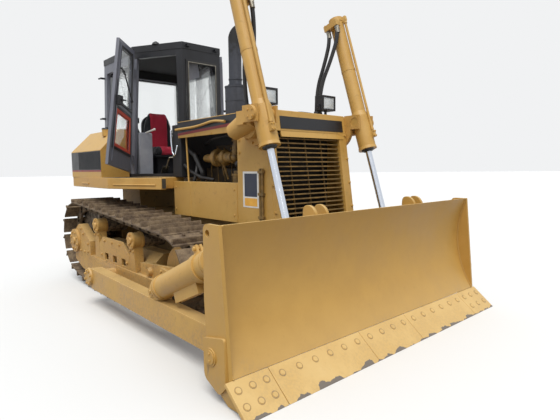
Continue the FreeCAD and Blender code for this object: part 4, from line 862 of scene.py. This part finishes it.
# Coolant and air hoses and the wiring loom, fixed between the engine and the bulkhead
bm = bmesh.new()
for path, radius in (
    (((-0.19, -0.42, 1.70), (-0.02, -0.44, 1.62), (0.06, -0.40, 1.44), (0.02, -0.36, 1.30)), 0.026),
    (((-0.19, -0.30, 1.62), (-0.06, -0.38, 1.56), (0.00, -0.45, 1.40), (-0.02, -0.46, 1.34)), 0.020),
    (((-0.18, -0.48, 1.52), (-0.08, -0.47, 1.45), (0.10, -0.44, 1.38), (0.30, -0.42, 1.36)), 0.017),
    (((0.64, -0.28, 1.44), (0.72, -0.40, 1.52), (0.86, -0.42, 1.56), (0.97, -0.40, 1.56)), 0.030),
    (((0.60, -0.25, 1.78), (0.76, -0.33, 1.82), (0.88, -0.34, 1.80), (0.97, -0.34, 1.78)), 0.036),
    (((-0.12, -0.24, 1.76), (0.20, -0.34, 1.80), (0.46, -0.34, 1.82), (0.60, -0.28, 1.80)), 0.012),
    (((-0.19, 0.42, 1.70), (-0.02, 0.44, 1.62), (0.06, 0.40, 1.44), (0.02, 0.34, 1.30)), 0.026),
    (((0.64, 0.28, 1.44), (0.72, 0.40, 1.52), (0.86, 0.42, 1.56), (0.97, 0.40, 1.56)), 0.032),
):
    knots = [Vector(p) for p in path]
    tube(bm, knots, radius, radius)
place(bm, "engine_hoses", hose_rubber, angle=60)
for side, sign in both_sides:
    dress("side_panel_" + side, sand_enamel, 0.003)
    bm = bmesh.new()
    # A stiffening seam down the panel, its hinges' edge and the quarter-turn latches
    post(bm, 0.030, sign * 0.540, 0.960, 1.322, 0.004, segments=10)
    post(bm, 0.893, sign * 0.541, 0.965, 1.325, 0.006, segments=10)
    for x, z in ((0.845, 1.02), (0.845, 1.27), (-0.29, 1.02), (-0.29, 1.27)):
        pin(bm, x, z, sign * 0.538, sign * 0.547, 0.013, 0.010, segments=18)
    place(bm, "panel_latches_" + side, sand_enamel)

# Exhaust: a steel silencer and stack in heat-proof paint, blackened with soot at the slanted tip
soot, tree, shader = new_material("sooty_heat_paint")
flake = noise(tree, 22.0, 7.0, 0.65)
streak = ramp(tree, flake, 0.3, 0.7, -0.12, 0.12)
burnt = ramp(tree, reckon(tree, "ADD", measure(tree, 2), streak), 2.62, 2.80)
feed(tree, shader, {
    "Base Color": blend(tree, burnt, blend(tree, flake, "262930", "434650"), "0C0B0C"),
    "Roughness": 0.62, "Normal": roughen(tree, flake, 0.4, 0.002),
})
dress("exhaust_stack", soot, 0.003)
stack_foot = (0.440, -0.200)
bm = bmesh.new()
for z, radius in ((2.030, 0.116), (2.180, 0.1145), (2.325, 0.116), (2.345, 0.078), (2.405, 0.073)):
    post(bm, *stack_foot, z, z + 0.014, radius, segments=40)
for x in (0.33, 0.55):
    for y in (-0.300, -0.100):
        bolt(bm, (x, y, 2.024), (0, 0, 1), 0.022, 0.014)
place(bm, "stack_bands", soot)

# Fenders: folded decks with a deep edge, pressed ribs along their sides and a non-slip sheet on
# top. A dark plate at the deck's nose is a painted shadow of the gap beside the side panel.
deck_enamel = enamel("deck_enamel", "BA8C42", "C49A54", "8A7660", 0.9, 0.35, 0.48)
grip_and_gap_shadow_sheet = coat("grit_sheet_and_gap_shadow", "2A2825", "4C463B", 160, 7, 1.6, 0.85)
# Pressed ribs: a long one on the slanting face and a short one behind it, each with the way out
ribs = (
    (Vector((-0.850, 1.0481, 0)), Vector((-0.225, 0.8266, 0)), Vector((0.3341, 0.9427, 0))),
    (Vector((-1.900, 1.0522, 0)), Vector((-1.620, 1.0604, 0)), Vector((-0.0292, 0.9996, 0))),
)
grip = (
    (-0.190, 0.760), (-0.190, 0.790), (-0.950, 1.055), (-1.195, 1.048), (-1.195, 0.742), (-1.10, 0.742),
    (-0.42, 0.750),
)
for side, sign in both_sides:
    dress("fender_" + side, deck_enamel, 0.006)
    bm = bmesh.new()
    for start, end, out in ribs:
        a, b = start + out * 0.002, end + out * 0.002
        rod(bm, (a.x, sign * a.y, 1.300), (b.x, sign * b.y, 1.300), 0.009, segments=12)
    for x, y in ((-0.30, 0.760), (-0.60, 0.760), (-2.20, 0.90)):
        post(bm, x, sign * y, 1.378, 1.386, 0.014, 0.011, segments=14)
    place(bm, "deck_ribs_" + side, deck_enamel)
    # A thin dark plate on the nose's face: painted shadow of the gap beside the side panel
    bm = bmesh.new()
    box(bm, -0.150, -0.146, 1.262, 1.368, sign * 0.742, sign * 0.788)
    place(bm, "deck_nose_gap_shadow_" + side, grip_and_gap_shadow_sheet)
    bm = bmesh.new()
    prism(bm, [(x, sign * y, 1.3795) for x, y in grip], (0, 0, 0.003))
    place(bm, "deck_grip_" + side, grip_and_gap_shadow_sheet)

# Fuel tank: welded sheet across the back. A black band with upright flutes runs along each side
# over a thin red line, and the cap stands in a recess of the sloping shoulder.
dress("fuel_tank", sand_enamel, 0.012)
for side, sign in both_sides:
    bm = bmesh.new()
    box(bm, -2.294, -1.2105, 1.472, 1.712, sign * 1.0495, sign * 1.0515)
    for i in range(23):
        x = -2.00 + 0.034 * i
        box(bm, x, x + 0.012, 1.480, 1.704, sign * 1.0510, sign * 1.0560)
    place(bm, "tank_band_" + side, black_enamel)
    bm = bmesh.new()
    box(bm, -2.294, -1.2105, 1.452, 1.472, sign * 1.0495, sign * 1.0513)
    place(bm, "tank_line_" + side, red_enamel)
bm = bmesh.new()
cap = (-1.490, -0.850)
post(bm, *cap, 1.992, 2.010, 0.064, 0.058, segments=40)
post(bm, *cap, 2.008, 2.022, 0.022, 0.018, segments=6)
for x in (-1.85, -2.12):
    for y in (-0.55, 0.55):
        post(bm, x, y, 1.984, 1.996, 0.016, 0.013, segments=14)
# Access covers on the tank's rear face
for y in (-0.62, 0.62):
    box(bm, -2.302, -2.299, 1.50, 1.66, y - 0.11, y + 0.11)
    for dy in (-0.09, 0.09):
        for z in (1.52, 1.64):
            bolt(bm, (-2.301, y + dy, z), (-1, 0, 0), 0.018, 0.009)
place(bm, "tank_fittings", black_enamel)

# Cowl: the sheet-metal bulkhead in front of the cab, matt black against glare
bulkhead_black = coat("matt_bulkhead_black", "101013", "26262A", 180, 5, 0.4, 0.6)
dress("dash", bulkhead_black, 0.010)

# Cab: a six-sided safety cab of folded steel in grey enamel, with its corners spreading towards
# the floor. The front wall and the roof are painted near black, and gaskets frame the glass.
def grey_enamel(name, cool, warm, streaky):
    """Satin cab enamel: rain has run down it, so its dust lies in soft upright streaks."""
    made, tree, shader = new_material(name)
    at = put(tree, "TexCoord").outputs["Object"]
    tall = put(tree, "Mapping", {"Vector": at, "Scale": (1.0, 1.0, 0.18)}).outputs[0]
    runs = ramp(tree, noise(tree, 14.0, 5.0, 0.6, at=tall), 0.35, 0.68, 0.0, streaky)
    feed(tree, shader, {
        "Base Color": blend(tree, runs, cool, warm), "Roughness": ramp(tree, runs, low=0.36, high=0.56),
        "Normal": roughen(tree, noise(tree, 280.0, 2.0), 0.15, 0.0008),
    })
    return made


cab_enamel = grey_enamel("cab_grey_enamel", "666873", "7C7D85", 0.6)
roof_enamel = grey_enamel("roof_slate_enamel", "0E0F13", "1B1C22", 0.8)
post_enamel = grey_enamel("front_wall_enamel", "0E0F14", "1B1C22", 0.8)
frame_copy = dress("cab_frame", cab_enamel, 0.005)
frame_copy.data.materials.append(post_enamel)
frame_copy.data.materials.append(bulkhead_black)
bm = bmesh.new()
bm.from_mesh(frame_copy.data)
for at, way in (((0, 0, 1.421), (0, 0, 1)), ((0, 0, 2.846), (0, 0, 1)), ((-0.660, 0, 0), (1, 0, 0))):
    bmesh.ops.bisect_plane(bm, geom=bm.verts[:] + bm.edges[:] + bm.faces[:], plane_co=at, plane_no=way)
for face in bm.faces:
    middle = face.calc_center_median()
    if middle.z < 1.421:
        face.material_index = 2
    elif middle.x > -0.660 or (middle.z > 2.846 and middle.x > -1.26):
        face.material_index = 1
bm.to_mesh(frame_copy.data)
bm.free()
dress("cab_roof", roof_enamel, 0.010)

# Window glass: toughened sheet with a faint green tint
window_glass, tree, shader = new_material("toughened_glass")
feed(tree, shader, {
    "Base Color": "EEF4F2", "Roughness": 0.03, "IOR": 1.5, "Transmission Weight": 1.0, "Alpha": 0.35,
})


def glazed(node):
    frame["nodes"][node].data.materials.clear()
    frame["nodes"][node].data.materials.append(window_glass)


def gasket(bm, corners, width, depth):
    """A flat ring inside a window's corners, with a thickness along the way its corners face."""
    face = bm.faces.new([bm.verts.new(c) for c in corners])
    face.normal_update()
    way = face.normal.copy()
    ring = bmesh.ops.inset_individual(bm, faces=[face], thickness=width, use_even_offset=True)
    bmesh.ops.delete(bm, geom=[face], context="FACES_ONLY")
    grown = bmesh.ops.extrude_face_region(bm, geom=ring["faces"])
    moved = [v for v in grown["geom"] if isinstance(v, bmesh.types.BMVert)]
    bmesh.ops.translate(bm, verts=moved, vec=way * depth)


def window_ring(bm, x, y, z0, z1, width, depth):
    """A gasket in a wall that faces ahead, wound from -y to y so that it grows outwards."""
    gasket(bm, [(x, -y, z0), (x, y, z0), (x, y, z1), (x, -y, z1)], width, depth)


glazed("cab_glass")
bm = bmesh.new()
window_ring(bm, -0.529, 0.225, 1.980, 2.800, 0.024, 0.010)
window_ring(bm, -2.081, -0.523, 1.860, 2.800, 0.026, 0.008)
place(bm, "window_gaskets", hose_rubber)
bm = bmesh.new()
window_ring(bm, -0.520, 0.200, 2.005, 2.775, 0.010, 0.006)
place(bm, "front_window_trim", plated_steel)

# Inside the cab: a dark headliner and rear header, a grey visor, and a rubber mat on the floor
lining = coat("headliner_felt", "0F0F11", "1D1D1F", 90, 2, 0.8, 0.9)
bm = bmesh.new()
liner = (
    (-0.600, -0.235), (-0.600, 0.235), (-1.160, 0.550), (-2.015, 0.550), (-2.015, -0.550), (-1.160, -0.550),
)
prism(bm, [(x, y, 2.955) for x, y in liner], (0, 0, -0.040))
extruded(bm, ((-2.027, 2.806), (-2.017, 2.806), (-2.005, 2.925), (-2.027, 2.925)), -0.560, 0.560)
place(bm, "headliner", lining)
bm = bmesh.new()
visor = [(-0.281, 2.824), (-0.034, 2.831), (-0.002, 2.617), (-0.269, 2.508)]
prism(bm, [(-0.588, y, z) for y, z in visor], (0.005, 0, 0))
rod(bm, (-0.586, -0.270, 2.832), (-0.586, -0.030, 2.840), 0.008, segments=12)
place(bm, "sun_visor", cab_enamel)
mat_rubber = coat("ribbed_mat_rubber", "0F0F10", "1E1C1A", 120, 9, 1.5, 0.75)
bm = bmesh.new()
mat = (
    (-0.640, -0.250), (-0.640, 0.250), (-1.240, 0.580), (-2.000, 0.590), (-2.000, -0.590), (-1.240, -0.580),
)
prism(bm, [(x, y, 1.4003) for x, y in mat], (0, 0, 0.004))
place(bm, "floor_mat", mat_rubber)

# Grab bar and pedals: bright bent tube bolted beside the right doorway, pedals on pressed stalks
bm = bmesh.new()
bend = (
    (-0.372, 1.915), (-0.368, 1.780), (-0.350, 1.668), (-0.315, 1.632), (-0.280, 1.648), (-0.235, 1.735),
)
tube(bm, [Vector((x, -0.538, z)) for x, z in bend], 0.011, 0.0112)
for x, z in ((-0.371, 1.880), (-0.246, 1.716)):
    pin(bm, x, z, -0.508, -0.538, 0.009, segments=14)
place(bm, "grab_bar", chrome, angle=60)
bm = bmesh.new()
tread = (-0.860, 1.430), (-0.848, 1.426), (-0.788, 1.512), (-0.800, 1.516)
for y, reach in ((-0.355, 0.07), (-0.12, 0.0), (0.05, 0.0)):
    rod(bm, (-0.700 - reach, y, 1.620), (-0.800 - reach, y, 1.480), 0.010, segments=12)
    rod(bm, (-0.700 - reach, y, 1.618), (-0.640 - reach, y + 0.08, 1.625), 0.009, segments=12)
    extruded(bm, [(x - reach, z) for x, z in tread], y - 0.045, y + 0.045)
place(bm, "pedals", plated_steel)

# Roof fittings: two brackets over the front wall and three capped vents, small and dark
bm = bmesh.new()
for y in (-0.20, 0.20):
    box(bm, -0.540, -0.490, 2.945, 2.975, y - 0.020, y + 0.020)
for x, y in ((-0.860, -0.440), (-1.75, -0.45), (-1.75, 0.45)):
    post(bm, x, y, 2.998, 3.022, 0.050, 0.036, segments=24)
    post(bm, x, y, 3.018, 3.034, 0.022, 0.018, segments=6)
for z in (2.745, 2.188):
    # Pegs on the rear corner that hold the door back when it is open
    pin(bm, -2.050, z, -0.630, -0.690, 0.014, segments=14)
    rod(bm, (-2.050, -0.680, z), (-2.110, -0.690, z), 0.011, segments=14)
place(bm, "roof_fittings", roof_enamel)

# Doors: folded grey leaves with two windows each, on two pin hinges. A red-orange primed frame
# holds the lower pane in its black gasket, and a stay bar crosses the upper one.
lean = math.radians(4.2153)
primer_red = coat("red_primer", "C43E28", "D6543A", 90, 6, 0.2, 0.5)
low_window = ((0.1724, 1.640), (0.7004, 1.710), (0.6500, 2.1685), (0.2106, 2.1085))
high_window = ((0.2106, 2.1885), (0.6500, 2.2485), (0.5842, 2.8550), (0.2605, 2.8450))


def on_leaf(t, z):
    """Turn a distance forward of the corner's foot and a height into the leaf's own X and Z."""
    along, up = t - 0.045, z - 1.400
    return along * math.cos(lean) - up * math.sin(lean), along * math.sin(lean) + up * math.cos(lean)


def hang(bm, name, finish):
    """Turn a bmesh in a leaf's own X and Z to where that door stands, as a piece of it."""
    bmesh.ops.transform(bm, matrix=hung, verts=bm.verts)
    place(bm, name + side, finish, "door_" + side)


for side, sign, opened in (("right", -1, -75), ("left", 1, 0)):
    hung = (
        Matrix.Translation((-1.182057, sign * 0.674268, 1.400))
        @ Matrix.Rotation(math.radians(-sign * 29.631), 4, "Z")
        @ Matrix.Rotation(lean, 4, "Y") @ Matrix.Rotation(math.radians(opened), 4, "Z")
    )
    inner = -sign
    dress("door_" + side, cab_enamel, 0.004)
    glazed("door_glass_" + side)
    rings, primed = bmesh.new(), bmesh.new()
    for window in (low_window, high_window):
        corners = [on_leaf(t, z) for t, z in window]
        middle = Vector((sum(x for x, z in corners) / 4, sum(z for x, z in corners) / 4))
        for face_side in (-1, 1):
            for bm, grow, width, depth in ((rings, 1.075, 0.030, 0.008), (primed, 0.970, 0.044, 0.005)):
                if bm is primed and window is high_window:
                    continue
                spread = [middle + (Vector(c) - middle) * grow for c in corners]
                placed = [(p.x, face_side * 0.0172, p.y) for p in spread]
                gasket(bm, placed if face_side < 0 else placed[::-1], width, depth)
    hang(rings, "door_gaskets_", hose_rubber)
    hang(primed, "door_primer_", primer_red)
    # A stiff edge channel down the free side, the stay bar, the latch and its handle
    bm = bmesh.new()
    y0 = inner * 0.017
    for (ta, za), (tb, zb) in (((0.700, 1.540), (0.595, 2.900)), ((0.150, 1.480), (0.225, 2.890))):
        ax, az = on_leaf(ta, za)
        bx, bz = on_leaf(tb, zb)
        channel = (ax - 0.012, az), (ax + 0.012, az), (bx + 0.012, bz), (bx - 0.012, bz)
        extruded(bm, channel, y0, y0 + inner * 0.010)
    hang(bm, "door_channels_", cab_enamel)
    bm = bmesh.new()
    stay = [on_leaf(t, z) for t, z in ((0.600, 2.610), (0.520, 2.590), (0.235, 2.300))]
    for (ax, az), (bx, bz) in zip(stay, stay[1:]):
        rod(bm, (ax, inner * 0.036, az), (bx, inner * 0.036, bz), 0.008, segments=12)
    for x, z in stay:
        pin(bm, x, z, inner * 0.016, inner * 0.046, 0.012, segments=16)
    lx, lz = on_leaf(0.640, 2.235)
    box(bm, lx - 0.070, lx + 0.030, lz - 0.045, lz + 0.060, y0, y0 + inner * 0.045)
    grip, tip = (lx - 0.030, inner * 0.058, lz + 0.010), (lx - 0.135, inner * 0.066, lz + 0.018)
    rod(bm, grip, tip, 0.011, 0.009, segments=14)
    pin(bm, lx - 0.030, lz + 0.010, y0, inner * 0.070, 0.016, segments=18)
    pin(bm, lx - 0.020, lz, -inner * 0.016, -inner * 0.050, 0.014, segments=18)
    rod(bm, (lx - 0.020, -inner * 0.046, lz), (lx - 0.150, -inner * 0.046, lz), 0.011, segments=14)
    hang(bm, "door_latch_", shell_plastic)

# Console and levers: moulded grey boxes each side of the seat, with black-gripped levers
console_grey = coat("moulded_grey_plastic", "8A8D96", "A3A5AC", 160, 2, 0.3, 0.5)
dress("console", console_grey, 0.014)
dress("controls", shell_plastic, 0.006)
seat_shell = dress("seat_frame", shell_plastic, 0.006)
round_off(
    seat_shell, 0.150, 8,
    lambda a, b: min(a.z, b.z) > 2.24 and min(abs(a.y), abs(b.y)) > 0.10 and abs(a.x - b.x) > 0.01,
)
bm = bmesh.new()
rod(bm, (-1.200, -0.455, 1.948), (-1.060, -0.400, 1.985), 0.010, 0.013, segments=16)
ball(bm, (-1.060, -0.400, 1.985), 0.017)
place(bm, "throttle_lever", white_enamel, angle=60)
bm = bmesh.new()
for x, y in ((-1.430, -0.460), (-1.450, 0.460)):
    for i in range(4):
        z, radius = 1.948 + 0.016 * i, 0.040 - 0.007 * i
        post(bm, x, y, z, z + 0.014, radius, radius - 0.004, segments=24)
for x in (-1.42, -1.34, -1.26):
    post(bm, x, -0.520, 1.949, 1.960, 0.013, segments=18)
place(bm, "lever_boots", hose_rubber)

# Seat: two foam cushions in coated cloth, red down the middle between black bolsters. Each is
# sewn along two channels where the colours meet, and swells between them.
channel_at = 0.128
seat_cloth, tree, shader = new_material("woven_seat_cloth")
bolster = reckon(tree, "GREATER_THAN", reckon(tree, "ABSOLUTE", measure(tree, 1)), channel_at)
wear = noise(tree, 9.0, 5.0)
reds, blacks = blend(tree, wear, "BC1A34", "DA3450"), blend(tree, wear, "0E0E11", "24242A")
# Threads 1.5 mm apart each way, drawn twice as coarse so that they show
weave = reckon(tree, "MULTIPLY", ripple(tree, 1, 0.003), ripple(tree, 2, 0.003))
feed(tree, shader, {
    "Base Color": blend(tree, bolster, reds, blacks), "Roughness": 0.82, "Sheen Weight": 0.25,
    "Normal": roughen(tree, weave, 0.35, 0.0008),
})


def cushion(name, low, high, along, taper):
    """A stuffed pad between two corners; along is its long axis, and taper narrows its far end."""
    bm = bmesh.new()
    size = high - low
    seat = Matrix.Translation((low + high) / 2) @ Matrix.Diagonal((*size, 1.0))
    bmesh.ops.create_cube(bm, size=1.0, matrix=seat)
    bmesh.ops.bevel(
        bm, geom=bm.edges[:], offset=0.028, segments=3, profile=0.5, affect="EDGES", material=-1,
    )
    long_edges = [e for e in bm.edges if e.calc_length() > 0.08]
    bmesh.ops.subdivide_edges(bm, edges=long_edges, cuts=6, use_grid_fill=True)
    for vert in bm.verts:
        share = max(0.0, (vert.co[along] - low[along]) / size[along] - 0.55) / 0.45
        vert.co.y *= 1.0 - taper * share * share
    mesh = bpy.data.meshes.new(name)
    bm.to_mesh(mesh)
    bm.free()
    pad = bpy.data.objects.new(name, mesh)
    scene.collection.objects.link(pad)
    return pad


most_swell = 0.022
for name, low, high, along, taper in (
    ("seat_cushion", Vector((-1.715, -0.225, 1.672)), Vector((-1.385, 0.225, 1.770)), 0, 0.06),
    ("seat_back", Vector((-1.806, -0.232, 1.712)), Vector((-1.735, 0.232, 2.298)), 2, 0.45),
):
    pad = cushion(name, low, high, along, taper)
    bpy.context.view_layer.objects.active = pad
    remesh = pad.modifiers.new("even_cloth", "REMESH")
    remesh.mode = "VOXEL"
    remesh.voxel_size = 0.007
    graph = bpy.context.evaluated_depsgraph_get()
    even = bpy.data.meshes.new_from_object(pad.evaluated_get(graph))
    pad.modifiers.clear()
    pad.data = even
    still = [v.co.copy() for v in even.vertices]
    stuffing = pad.modifiers.new("stuffing", "CLOTH")
    stuffing.settings.use_pressure = True
    stuffing.settings.uniform_pressure_force = 4.0
    stuffing.settings.effector_weights.gravity = 0.0
    stuffing.point_cache.frame_start = 1
    stuffing.point_cache.frame_end = 20
    for step in range(1, 21):
        scene.frame_set(step)
    graph = bpy.context.evaluated_depsgraph_get()
    swollen = bpy.data.meshes.new_from_object(pad.evaluated_get(graph))
    pad.modifiers.clear()
    pad.data = swollen
    scene.frame_set(1)
    bm = bmesh.new()
    bm.from_mesh(pad.data)
    for vert, rest in zip(bm.verts, still):
        moved = vert.co - rest
        if moved.length > most_swell:
            vert.co = rest + moved.normalized() * most_swell
        # The sewn channels pull the cover in along both colour joins
        channel = math.exp(-((abs(vert.co.y) - channel_at) / 0.010) ** 2)
        thin = 2 if along == 0 else 0
        vert.co[thin] += ((low[thin] + high[thin]) / 2 - vert.co[thin]) * 0.16 * channel
        lowest = low[thin] if thin == 0 else low[thin] + 0.001
        vert.co[thin] = min(max(vert.co[thin], lowest), high[thin] + 0.020)
    bmesh.ops.recalc_face_normals(bm, faces=bm.faces)
    bm.to_mesh(pad.data)
    bm.free()
    pad.data.materials.clear()
    pad.data.materials.append(seat_cloth)
    pad.data.shade_smooth()
    rounder = pad.modifiers.new("even_cover", "SUBSURF")
    rounder.levels = 1
    rounder.render_levels = 1
    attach(pad, "chassis")
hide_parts("seat_pads")
